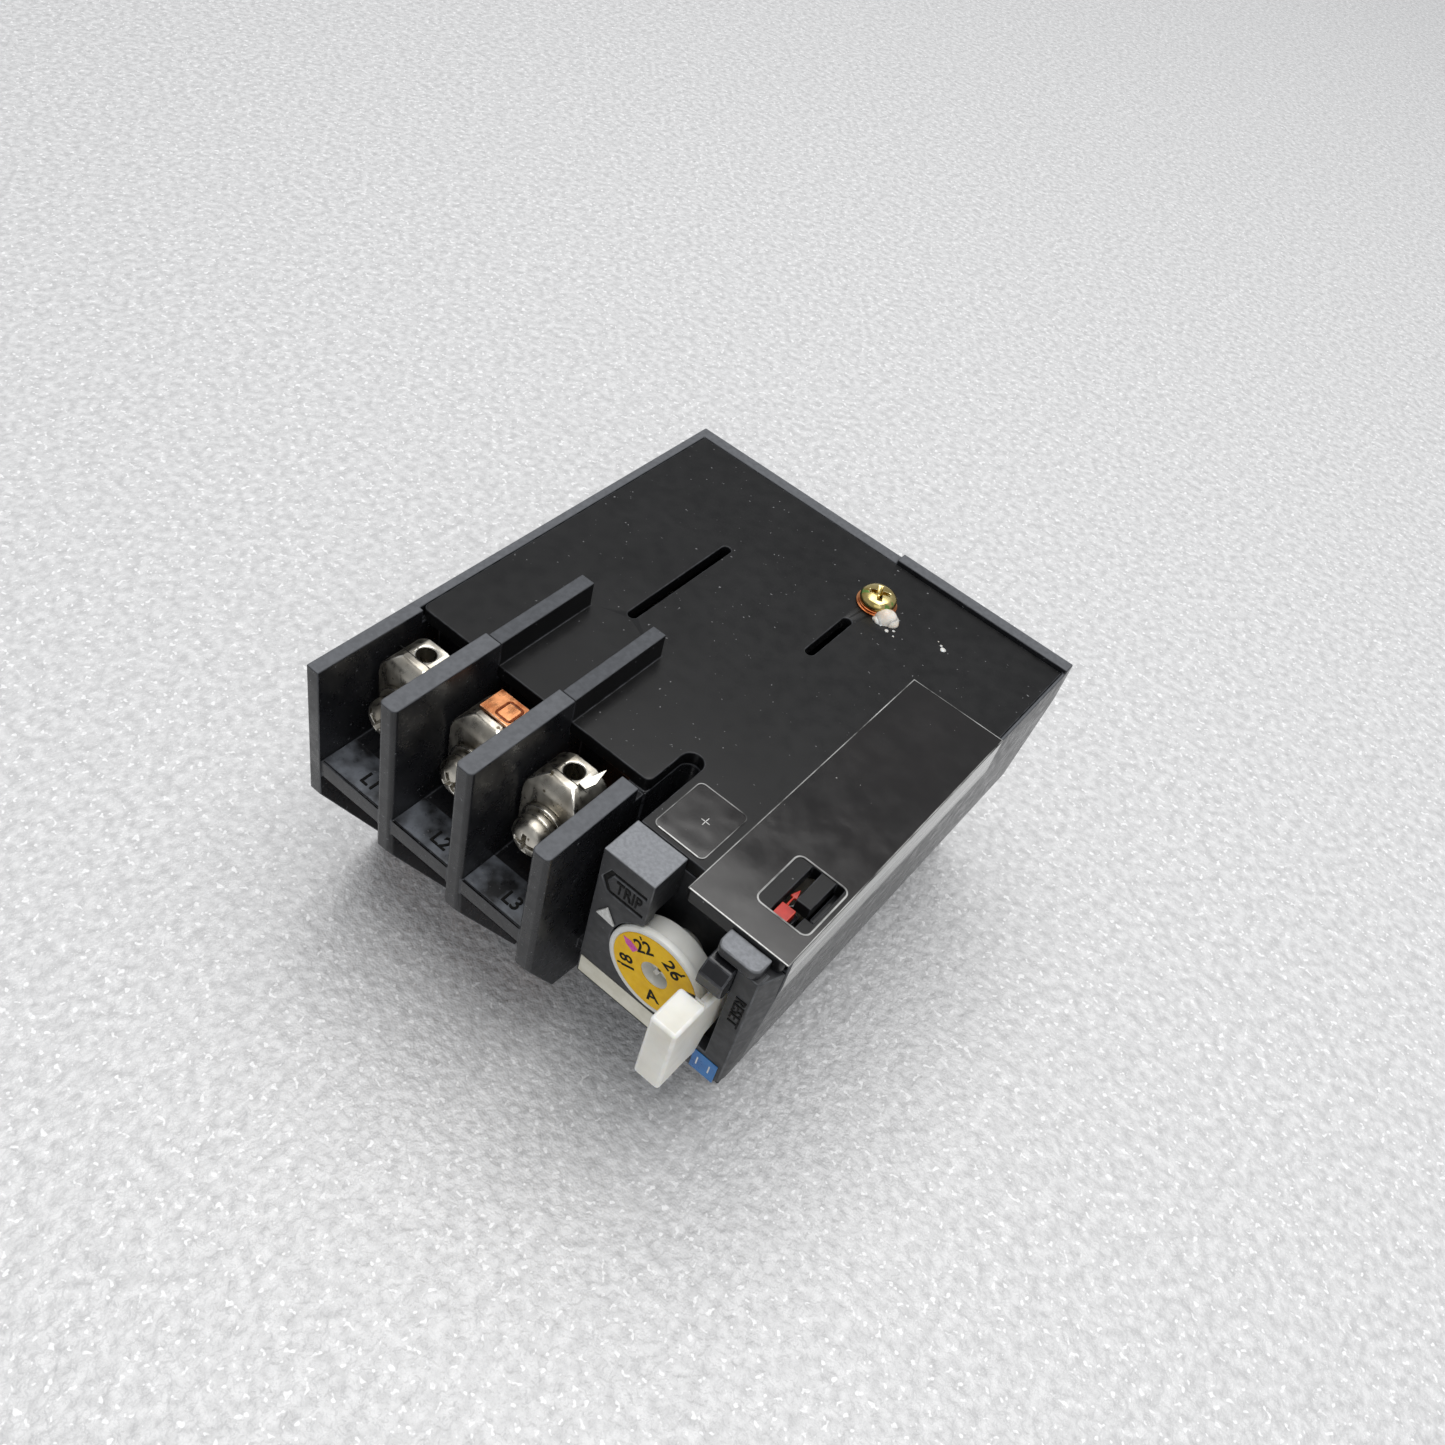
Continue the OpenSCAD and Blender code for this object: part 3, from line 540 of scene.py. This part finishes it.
labelPaper = finish("labelPaper", labelLook)
bluePlastic = finish("bluePlastic", blueLook)
driedLacquer = finish("driedLacquer", lacquerLook)
wovenSleeve = finish("wovenSleeve", sleeveLook)
creamPlastic = finish("creamPlastic", creamLook)
print("finishes ready")

# housing, cover and control panel keep the CAD's shape, with broken edges
# faces above topFrom and ribsFrom get the painted highlight colour of the lit tops
shell = {"housingEdge": 0.16, "plateEdge": 0.14, "noseEdge": 0.25, "tabEdge": 0.22,
         "topFrom": faceZ - 0.3 * mm, "ribsFrom": faceZ + 1 * mm, "tabFrom": faceZ - 1 * mm}
softened("base_housing", housingPlastic, shell["housingEdge"], 2, "housing", shell["topFrom"])
softened("top_cover", coverPlastic, shell["plateEdge"], 2, "cover", shell["ribsFrom"])
softened("control_panel", panelPlastic, shell["plateEdge"], 2, "panel", shell["topFrom"])
softened("lever_guide", glossBlack, shell["noseEdge"], 3, "guide_nose")
softened("cover_tab", panelPlastic, shell["tabEdge"], 3, "front_tab", shell["tabFrom"])

# hidden and underside parts: finish, width of the broken edge, and the nodes that have them
plainParts = (
    (springSteel, 0.12, ("adjusting_pin", "trip_lever_pin", "rocker_pin")),
    (springSteel, 0.1, ("adjusting_lever", "trip_lever")),
    (springSteel, 0.08, ("bimetal_1", "bimetal_2", "bimetal_3")),
    (springSteel, 0.03, ("reset_spring", "snap_spring")),
    (springSteel, 0.02, ("test_spring",)),
    (whitePlastic, 0.15, ("dial_cam",)),
    (bareCopper, 0.15, ("load_strip_1", "load_strip_3")),
    (bareCopper, 0.1, ("load_strip_2",)),
    (bareCopper, 0.2, ("line_tongue_1", "line_tongue_2", "line_tongue_3")),
    (wovenSleeve, 0.15, ("heater_coil_1", "heater_coil_2", "heater_coil_3")),
    (creamPlastic, 0.12, ("trip_slider", "phase_loss_slider", "contact_rocker")),
    (rolledBrass, 0.08, ("closed_contact", "open_contact")),
    (rolledBrass, 0.06, ("moving_contact",)),
    (wornNickel, 0.12, ("aux_terminal_plates", "aux_terminal_screws")),
)
for material, width, nodes in plainParts:
    for node in nodes:
        softened(node, material, width)
print("housing and inner parts done")

# steps with painted sheen patches and pole marks on the chamber floors
sill = {"floorZ": -16.15, "stepFront": 0.55, "stepBack": 5.6, "rise": 0.22, "edge": 0.08,
        "halves": (4.95, 4.65, 4.65), "marks": ("L1", "L2", "L3"), "markSize": 2.6, "markDepth": 0.16,
        "markOffset": 1.6, "markY": 2.3, "markSunk": 0.08}
sillTop = sill["floorZ"] + sill["rise"]
for i, mark in enumerate(sill["marks"]):
    centre = away(middle("terminal_screw_%d" % (i + 1)))[0]
    half = sill["halves"][i]
    step = slab(centre - half, centre + half, sill["stepFront"], sill["stepBack"], sill["floorZ"], sillTop)
    put(rounded(step, sill["edge"]), "sill_step_%d" % (i + 1), "root", paintedSheenSill)
    letters = lettering(mark, sill["markSize"], sill["markDepth"], -0.03)
    moved(letters, at(centre + sill["markOffset"], sill["markY"], sillTop + sill["markSunk"]))
    put(letters, "pole_mark_%d" % (i + 1), "root", blackInk, level=False)

# terminals: lugs, washers and cross-recessed screws
lug = {"edge": 0.22}
for i in (1, 2, 3):
    softened("terminal_lug_%d" % i, wornNickel, lug["edge"], 3, "lug_%d" % i)

screw = {
    "profile": ((0, -0.58), (1.0, -0.53), (1.8, -0.3), (2.4, 0.1), (2.68, 0.6), (2.73, 1.1), (2.73, 1.7),
                (2.6, 1.8), (1.68, 1.8), (1.68, 5.2), (1.5, 5.38), (0, 5.38)),
    "recessWide": 0.75, "recessLong": 3.4, "recessDeep": 1.6, "recessFrom": -0.7, "spinStep": 0.5,
    "headFront": 0.64, "edge": 0.06,
}


def swung(bm, degrees, axis):
    bmesh.ops.rotate(bm, cent=(0, 0, 0), matrix=Matrix.Rotation(math.radians(degrees), 3, axis), verts=bm.verts)
    return bm


def recessed(bm, height, long, wide, deep, turn, flip=0):  # cuts a cross of two tapered arms into a head
    diagonal = 1.414  # across a square with sides of 1
    for armTurn in (0, 90):
        arm = bmesh.new()
        bmesh.ops.create_cone(arm, cap_ends=True, segments=4, radius1=0.5 * mm, radius2=0.22 * mm,
                              depth=deep * mm, matrix=Matrix.Rotation(math.radians(45), 4, "Z"))
        bmesh.ops.scale(arm, vec=(long * diagonal, wide * diagonal, 1), verts=arm.verts)
        swung(swung(swung(arm, armTurn, "Z"), flip, "X"), math.degrees(turn), "Z")
        bmesh.ops.translate(arm, vec=(0, 0, height * mm), verts=arm.verts)
        bm = carved(bm, arm)
    return bm


for i in (1, 2, 3):
    node = "terminal_screw_%d" % i
    low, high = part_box(node)
    centre = (low + high) / 2
    middleHeight = screw["recessFrom"] + screw["recessDeep"] / 2
    bm = recessed(turned(screw["profile"]), middleHeight, screw["recessLong"], screw["recessWide"],
                  screw["recessDeep"], screw["spinStep"] * i)
    moved(bm, (centre.x, low.y + screw["headFront"] * mm, centre.z), (math.radians(-90), 0, 0))
    rounded(bm, screw["edge"], 1, 45)
    piece = put(bm, "clamp_screw_%d" % i, nodeBody[node], wornNickel)
    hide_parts(node)

# lug details: a seam in front of the wire holes of lugs 1 and 3, a bent tab and the stamped strap
detail = {"seamY": 10.86, "seamWide": 0.09, "seamHalf": 3.1, "lugTop": -1.05,
          "tabThick": 0.22, "tabEdge": 0.05,
          "tab": ((32.75, 11.1), (33.9, 11.0), (34.3, 12.4), (33.95, 14.6), (33.35, 12.9), (32.9, 12.6))}
for i in (1, 3):
    centre = away(middle("terminal_screw_%d" % i))[0]
    seam = slab(centre - detail["seamHalf"], centre + detail["seamHalf"], detail["seamY"],
                detail["seamY"] + detail["seamWide"], detail["lugTop"] - 0.02, detail["lugTop"] + 0.012)
    put(seam, "lug_seam_%d" % i, "root", blackInk, level=False)


def tabHeight(x, y):  # the tab curls up towards its tip and dips to the right
    return 0.12 + 0.55 * max(0, (y - 11) / 3.6) ** 1.6 - 0.25 * max(0, x - 33.6)


bent = moved(prism(detail["tab"], detail["tabThick"]), at(0, 0, 0))
for v in bent.verts:
    x, y, z = away(v.co)
    v.co.z = at(x, y, z + detail["lugTop"] + tabHeight(x, y)).z
put(rounded(bent, detail["tabEdge"], 2), "bent_tab", "root", wornNickel)
stamp = {"outline": (18.95, 11.3, 2.6, 2.9, 0.6), "wide": 0.36, "height": 0.1, "low": -0.62, "edge": 0.05}
ring = rim(roundedBox(*stamp["outline"]), stamp["wide"], stamp["height"], stamp["low"])
put(rounded(ring, stamp["edge"], 1), "strap_stamp", "root", darkCopper)
softened("screw_washers", wornNickel, 0.14, 3, "washers")
print("terminals done")

# dial: knob with a flange and a screwdriver cross, scale disc, numbers and the arrow
dial = {
    "knob": ((0, 1.75), (1.55, 1.75), (1.72, 1.6), (1.9, 0.32), (2.0, 0.18), (6.1, 0.17), (6.16, 0.05),
             (6.22, 0), (6.62, 0), (6.8, 0.1), (6.85, 0.3), (6.85, 0.85), (6.78, 0.95), (6.32, 1.0),
             (6.25, 1.1), (6.25, 3.4), (6.1, 3.6), (2.2, 3.6), (2.2, 7.9), (0, 7.95)),
    "disc": ((1.95, 0.02), (1.95, -0.1), (6.02, -0.1), (6.07, -0.06), (6.07, 0.02), (1.95, 0.02)),
    "bar": (3.0, 0.7, 0.8), "barDeep": 1.45, "barEdge": 0.15, "barTurns": (20, 110),
    "steps": 72, "discBack": 0.12,
    "numbers": (("18", 202, 112), ("22", 124, 34), ("26", 60, -32), ("A", -82, 22)),
    "numberSize": 2.75, "numberRadius": 4.0, "bolder": -0.05, "printThick": 0.02, "printLift": 0.005,
    "tick": ((-0.13, -0.28), (0.13, -0.28), (0.13, 0.28), (-0.13, 0.28)), "tickThick": 0.01,
    "ticks": (208, 122.5, 50), "tickRadius": 5.45,
    "arrow": ((-0.6, -1.15), (0.6, -1.15), (0.6, 0.2), (0.0, 1.15), (-0.6, 0.2)), "arrowThick": 0.012,
    "arrowAngle": 152, "arrowRadius": 4.7,
}
upright = (math.radians(90), 0, 0)  # Z of a flat piece turned to face the front
drilled = (math.radians(-90), 0, 0)  # Z of a turned piece pointing into the housing
dialLow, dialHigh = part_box("setting_dial")
dialCentre = Vector(((dialLow.x + dialHigh.x) / 2, dialLow.y, (dialLow.z + dialHigh.z) / 2))
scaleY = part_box("dial_scale")[0].y
knob = moved(turned(dial["knob"], dial["steps"]), (0, 0, 0), drilled)
cross = []
for turn in dial["barTurns"]:
    bar = bmesh.new()
    size = Matrix.Diagonal((*[side * mm for side in dial["bar"]], 1))
    bmesh.ops.create_cube(bar, size=1, matrix=size)
    moved(bar, (0, dial["barDeep"] * mm, 0), (upright[0], math.radians(turn), 0))
    cross.append(rounded(bar, dial["barEdge"], 2))
knob = moved(joined(knob, *cross), dialCentre)
knobPiece = put(knob, "dial_knob", "dial", whitePlastic)
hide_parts("setting_dial")
disc = turned(dial["disc"], dial["steps"])
moved(disc, (dialCentre.x, scaleY + dial["discBack"] * mm, dialCentre.z), drilled)
discPiece = put(disc, "dial_disc", "dial", yellowDisc)
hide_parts("dial_scale")
prints = []
onDial = (dialCentre.x, scaleY - dial["printLift"] * mm, dialCentre.z)


def dialMark(bm, angle, radius, spin):  # angle round the dial and spin of the mark itself, in degrees
    a = math.radians(angle)
    moved(bm, (radius * math.cos(a) * mm, radius * math.sin(a) * mm, 0), (0, 0, math.radians(spin)))
    return moved(bm, onDial, upright)


for text, angle, spin in dial["numbers"]:
    number = lettering(text, dial["numberSize"], dial["printThick"], dial["bolder"])
    prints.append(dialMark(number, angle, dial["numberRadius"], spin))
for angle in dial["ticks"]:
    prints.append(dialMark(prism(dial["tick"], dial["tickThick"]), angle, dial["tickRadius"], angle - 90))
put(joined(*prints), "dial_print", "dial", blackInk, level=False)
arrow = prism(dial["arrow"], dial["arrowThick"])
arrow = dialMark(arrow, dial["arrowAngle"], dial["arrowRadius"], dial["arrowAngle"] - 90)
put(arrow, "dial_arrow", "dial", magentaInk, level=False)
print("dial done")

# panel labels and marks
softened("panel_label", labelPaper, 0.03, 1, "label_strip")
softened("terminal_tag", bluePlastic, 0.03, 1, "blue_tag")
softened("dial_pointer", paleInkAndHighlight, 0.08, 2, "pointer")
tag = {"strokes": "1 1", "size": 2.3, "thick": 0.02, "thinner": 0.02, "place": (1.7, -0.008, 1.9)}
tagMark = lettering(tag["strokes"], tag["size"], tag["thick"], tag["thinner"])
moved(tagMark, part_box("terminal_tag")[0] + mm * Vector(tag["place"]), upright)
put(tagMark, "tag_marks", "root", paleInkAndHighlight, level=False)
sign = {"tripSize": 2.9, "squeeze": 0.66, "tripPlace": (45.7, 5.9, -4.68),
        "resetSize": 2.1, "resetPlace": (62.35, 5.9, -9.2), "letterDeep": 0.14, "bolder": -0.02,
        "grooveFront": 6.27, "groove": 0.12,
        "outline": ((41.75, -4.7), (42.8, -2.6), (47.9, -2.6), (47.9, -3.25), (43.2, -3.25), (42.5, -4.7),
                    (43.2, -6.15), (47.9, -6.15), (47.9, -6.8), (42.8, -6.8))}
trip = lettering("TRIP", sign["tripSize"], sign["letterDeep"], sign["bolder"])
bmesh.ops.scale(trip, vec=(sign["squeeze"], 1, 1), verts=trip.verts)
moved(trip, at(*sign["tripPlace"]), upright)
put(trip, "trip_letters", "root", blackInk, level=False)
inlay = moved(prism(sign["outline"], sign["groove"]), at(0, sign["grooveFront"], 0), upright)
put(inlay, "trip_outline", "root", blackInk, level=False)
reset = lettering("RESET", sign["resetSize"], sign["letterDeep"], sign["bolder"])
moved(reset, at(*sign["resetPlace"]), (upright[0], math.radians(90), 0))
put(reset, "reset_letters", "root", blackInk, level=False)

# reset lever
softened("reset_lever", ivoryPlastic, 0.42, 4, "reset_button")
print("panel done")

# test slide: red block and arrow above, black foot below
slider = {"blockTop": 1.35, "edge": 0.1}
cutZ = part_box("test_slide")[1].z - slider["blockTop"] * mm


def slideHalf(keepUpper):
    half = nodeCopy("test_slide")
    bmesh.ops.bisect_plane(half, geom=half.verts[:] + half.edges[:] + half.faces[:], plane_co=(0, 0, cutZ),
                           plane_no=(0, 0, 1), clear_outer=not keepUpper, clear_inner=keepUpper)
    bmesh.ops.holes_fill(half, edges=[e for e in half.edges if e.is_boundary])
    bmesh.ops.recalc_face_normals(half, faces=half.faces)
    return rounded(half, slider["edge"])


slidePiece = put(slideHalf(True), "red_slide", "test", redPlastic)
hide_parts("test_slide")
put(slideHalf(False), "slide_foot", "test", glossBlack)

# label films
film = {"left": 51.0, "right": 64.9, "front": 8.65, "back": 55.6, "top": 0.07, "step": 0.3,
        "window": (56.9, 12.9, 7.3, 8.7, 1.0), "windowRim": (56.85, 12.85, 7.4, 8.8, 1.05),
        "crease": 0.045, "highest": 0.028, "underside": 0.004}
corner = {"left": 42.6, "front": 12.5, "wide": 7.3, "long": 8.8, "round": 0.8, "top": 0.05, "ripple": 0.022}


def wrinkle(x, y):  # creases in a slanting band and a broad ripple near the front
    band = math.exp(-((y - 0.55 * (x - film["left"]) - 24.5) / 3.2) ** 2)
    front = 1 / (1 + math.exp((y - 25) / 1.5))
    fine = noise.noise(Vector((x * 0.75, y * 0.75, 0.3)))
    broad = noise.noise(Vector((x * 0.28, y * 0.28, 4.1)))
    return (0.5 + 0.5 * fine) * band + 0.35 * (0.5 + 0.5 * broad) * front


def filmHeight(x, y):
    return min(film["crease"] * wrinkle(x, y), film["highest"])


def cornerHeight(x, y):
    return corner["ripple"] * (0.5 + 0.5 * noise.noise(Vector((x * 0.55, y * 0.55, 7.7))))


def filmSheet(x0, x1, y0, y1, step, thickness, height):
    bm = bmesh.new()
    nx, ny = max(2, round((x1 - x0) / step)), max(2, round((y1 - y0) / step))
    place = Matrix.Translation(at((x0 + x1) / 2, (y0 + y1) / 2, thickness))
    size = Matrix.Diagonal(((x1 - x0) * mm, (y1 - y0) * mm, 1, 1))
    bmesh.ops.create_grid(bm, x_segments=nx, y_segments=ny, size=0.5, matrix=place @ size)
    for v in bm.verts:
        x, y, _ = away(v.co)
        v.co.z += height(x, y) * mm
    made = bmesh.ops.extrude_face_region(bm, geom=bm.faces[:])
    for v in made["geom"]:
        if isinstance(v, bmesh.types.BMVert):
            v.co.z = faceZ + film["underside"] * mm
    bmesh.ops.recalc_face_normals(bm, faces=bm.faces)
    return bm


def through(outline, height):  # a cutter through the film, centred on its face
    return moved(prism(outline, height), at(0, 0, -height / 2))


sheet = filmSheet(film["left"], film["right"], film["front"], film["back"], film["step"], film["top"],
                  filmHeight)
sheet = carved(sheet, through(roundedBox(*film["window"]), 3))
filmPiece = put(sheet, "label_sheet", "root", clearFilm, sharp=50, level=False)
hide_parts("label_film")

cornerBack = corner["front"] + corner["long"]
cornerRight = corner["left"] + corner["wide"]
cornerShape = roundedBox(corner["left"], corner["front"], corner["wide"], corner["long"], corner["round"])
small = filmSheet(corner["left"], cornerRight, corner["front"], cornerBack, film["step"], corner["top"],
                  cornerHeight)
around = roundedBox(corner["left"] - 6, corner["front"] - 6, 20, 20, 1)
small = carved(small, carved(through(around, 3), through(cornerShape, 5)))
cornerPiece = put(small, "corner_sheet", "root", clearFilm, sharp=50, level=False)
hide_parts("corner_film")

# cut edges of both films, with painted highlight lines where the front edges catch the light
filmShape = [(film["left"], film["front"]), (film["right"], film["front"]),
             (film["right"], film["back"]), (film["left"], film["back"])]
lines = joined(rim(roundedBox(*film["windowRim"]), 0.2, 0.05, 0.08), rim(cornerShape, 0.12, 0.04, 0.07),
               rim(filmShape, 0.12, 0.04, 0.08))
put(lines, "film_edges", "root", paintedEdgeHighlight, level=False)
# painted highlights: pale strips along the front edges of the corner film and the label film
glints = joined(slab(43.4, 49.2, 12.5, 12.66, 0.06, 0.115), slab(51.2, 64.8, 8.65, 8.82, 0.07, 0.125))
put(glints, "film_glints", "root", paleInkAndHighlight, level=False)
plus = joined(slab(46.1, 47.3, 17.0, 17.08, 0.05, 0.1), slab(46.66, 46.74, 16.4, 17.7, 0.05, 0.1))
put(plus, "film_cross", "root", paleInkAndHighlight, level=False)

# the label wraps over the right edge, its grey streaks a painted reflection
wrap = {"x": 64.93, "front": 9.6, "back": 55.4, "low": -6.2, "bulge": 0.03}
side = bmesh.new()
wrapLong = wrap["back"] - wrap["front"]
size = Matrix.Diagonal((wrapLong * mm, -wrap["low"] * mm, 1, 1))
bmesh.ops.create_grid(side, x_segments=150, y_segments=16, size=0.5, matrix=size)
wrapMiddle = at(wrap["x"], wrap["front"] + wrapLong / 2, wrap["low"] / 2)
moved(side, wrapMiddle, (math.radians(90), 0, math.radians(90)))
for v in side.verts:
    x, y, z = away(v.co)
    v.co.x += wrap["bulge"] * abs(noise.noise(Vector((y * 0.25, z * 0.9, 2.2)))) * mm
put(side, "side_label", "root", paintedReflectionSide, sharp=60, level=False)
print("films done")

# sealed screw, its washers and the lacquer over it
seal = {
    "head": ((0, 2.1), (1.0, 2.06), (1.85, 1.88), (2.35, 1.55), (2.57, 1.15), (2.55, 0.66), (2.4, 0.6),
             (1.0, 0.6), (1.0, -10.9), (0, -11)),
    "ring": ((1.05, 0.02), (2.8, 0.02), (2.89, 0.08), (2.87, 0.24), (2.65, 0.3), (2.65, 0.5), (2.55, 0.58),
             (1.05, 0.58), (1.05, 0.02)),
    "recessLong": 3.5, "recessWide": 0.8, "recessDeep": 1.5, "recessAt": 1.6, "spin": 0.5, "steps": 48,
    "edge": 0.05,
}
sealAt = middle("seal_washer")
sealBase = Vector((sealAt.x, sealAt.y, faceZ))
head = recessed(turned(seal["head"], seal["steps"]), seal["recessAt"], seal["recessLong"],
                seal["recessWide"], seal["recessDeep"], seal["spin"], 180)
rounded(moved(head, sealBase), seal["edge"], 1, 45)
headPiece = put(head, "cover_screw", "root", yellowZinc)
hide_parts("seal_screw")
ring = moved(turned(seal["ring"], seal["steps"]), sealBase)
ringPiece = put(ring, "cover_screw_washer", "root", bareCopper)
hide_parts("seal_washer")


def blob(x, y, size, flat, seed):  # half a lumpy ball resting on the cover
    bm = bmesh.new()
    bmesh.ops.create_icosphere(bm, subdivisions=4, radius=size * mm)
    for v in bm.verts:
        v.co *= 1 + 0.17 * noise.noise(v.co * 1.1 / (size * mm) + Vector((seed, 0, 0)))
        v.co.z *= flat
    bmesh.ops.bisect_plane(bm, geom=bm.verts[:] + bm.edges[:] + bm.faces[:], plane_co=(0, 0, 0),
                           plane_no=(0, 0, -1), clear_outer=True)
    bmesh.ops.holes_fill(bm, edges=bm.edges)
    bmesh.ops.translate(bm, vec=at(x, y, 0.005), verts=bm.verts)
    return bm


# place, size, flatness and seed of each lump; place and size of each splash
lacquer = {
    "lumps": ((41.9, 62.2, 1.6, 0.9, 1.0), (42.9, 62.3, 1.1, 0.75, 2.0), (41.5, 61.3, 0.9, 0.6, 5.0)),
    "splashes": ((43.4, 60.4, 0.28), (44.1, 61.1, 0.2), (42.2, 60.7, 0.22), (44.6, 60.2, 0.14),
                 (50.7, 63.5, 0.42), (50.1, 64.0, 0.2), (49.4, 64.4, 0.12)),
    "splashFlat": 0.3,
}
drops = joined(*[blob(*lump) for lump in lacquer["lumps"]])
dropPiece = put(drops, "lacquer_drop", "root", driedLacquer, sharp=80, level=False)
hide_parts("seal_drop")
flecks = [blob(x, y, r, lacquer["splashFlat"], 3.0 + k) for k, (x, y, r) in enumerate(lacquer["splashes"])]
put(joined(*flecks), "lacquer_flecks", "root", driedLacquer, sharp=80, level=False)
print("seal done")

# floor, lights and camera
floorLook = {
    "dark": (0.6, 0.6, 0.605), "light": (0.78, 0.78, 0.785), "mottleScale": 620,
    "roughLow": 0.24, "roughHigh": 0.42, "roughScale": 500,
    "speck": (0.93, 0.93, 0.935), "speckScale": 1000, "speckFrom": 0.64,
    "bumps": ((900, 0.4, 2.0, evenly), (60, 0.12, 1.0, (0.35, 1, 1))),
}
foamSheet = finish("foamSheet", floorLook)
floorHalf = 2.0
ground = bmesh.new()
bmesh.ops.create_grid(ground, x_segments=1, y_segments=1, size=floorHalf)
floorMesh = bpy.data.meshes.new("floor")
ground.to_mesh(floorMesh)
ground.free()
floorMesh.materials.append(foamSheet)
floor = bpy.data.objects.new("floor", floorMesh)
scene.collection.objects.link(floor)
floor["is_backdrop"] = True

lamps = (
    {"name": "overhead", "place": (-0.02, 0.17, 1.0), "aim": (0, 0.17, 0), "size": 0.95, "power": 8.8,
     "colour": (1, 0.99, 0.975)},
    {"name": "frontFill", "place": (0.5, -0.7, 0.6), "aim": (0, 0, 0), "size": 0.7, "power": 1.2,
     "colour": (0.96, 0.98, 1)},
)
for lamp in lamps:
    light = bpy.data.lights.new(lamp["name"], "AREA")
    light.size = lamp["size"]
    light.energy = lamp["power"]
    light.color = lamp["colour"]
    holder = bpy.data.objects.new(lamp["name"], light)
    holder.location = lamp["place"]
    towards = Vector(lamp["place"]) - Vector(lamp["aim"])
    holder.rotation_euler = towards.to_track_quat("Z", "Y").to_euler()
    scene.collection.objects.link(holder)
studio = {"colour": (0.9, 0.92, 0.95, 1), "strength": 0.44}
world = bpy.data.worlds.new("studio")
world.use_nodes = True
sky = world.node_tree.nodes["Background"]
sky.inputs["Color"].default_value = studio["colour"]
sky.inputs["Strength"].default_value = studio["strength"]
scene.world = world
scene.view_settings.view_transform = "Standard"

cameraView = {"place": (0.05473, -0.10655, 0.16351), "turn": (41.91, -11.6, 38.42), "lens": 33.61,
              "sensor": 36.0, "nearest": 0.005, "farthest": 20}
lens = bpy.data.cameras.new("view")
lens.lens = cameraView["lens"]
lens.sensor_width = cameraView["sensor"]
lens.clip_start, lens.clip_end = cameraView["nearest"], cameraView["farthest"]
viewer = bpy.data.objects.new("view", lens)
viewer.location = cameraView["place"]
viewer.rotation_euler = [math.radians(a) for a in cameraView["turn"]]
scene.collection.objects.link(viewer)
scene.camera = viewer
print("scene ready")

low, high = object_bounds()
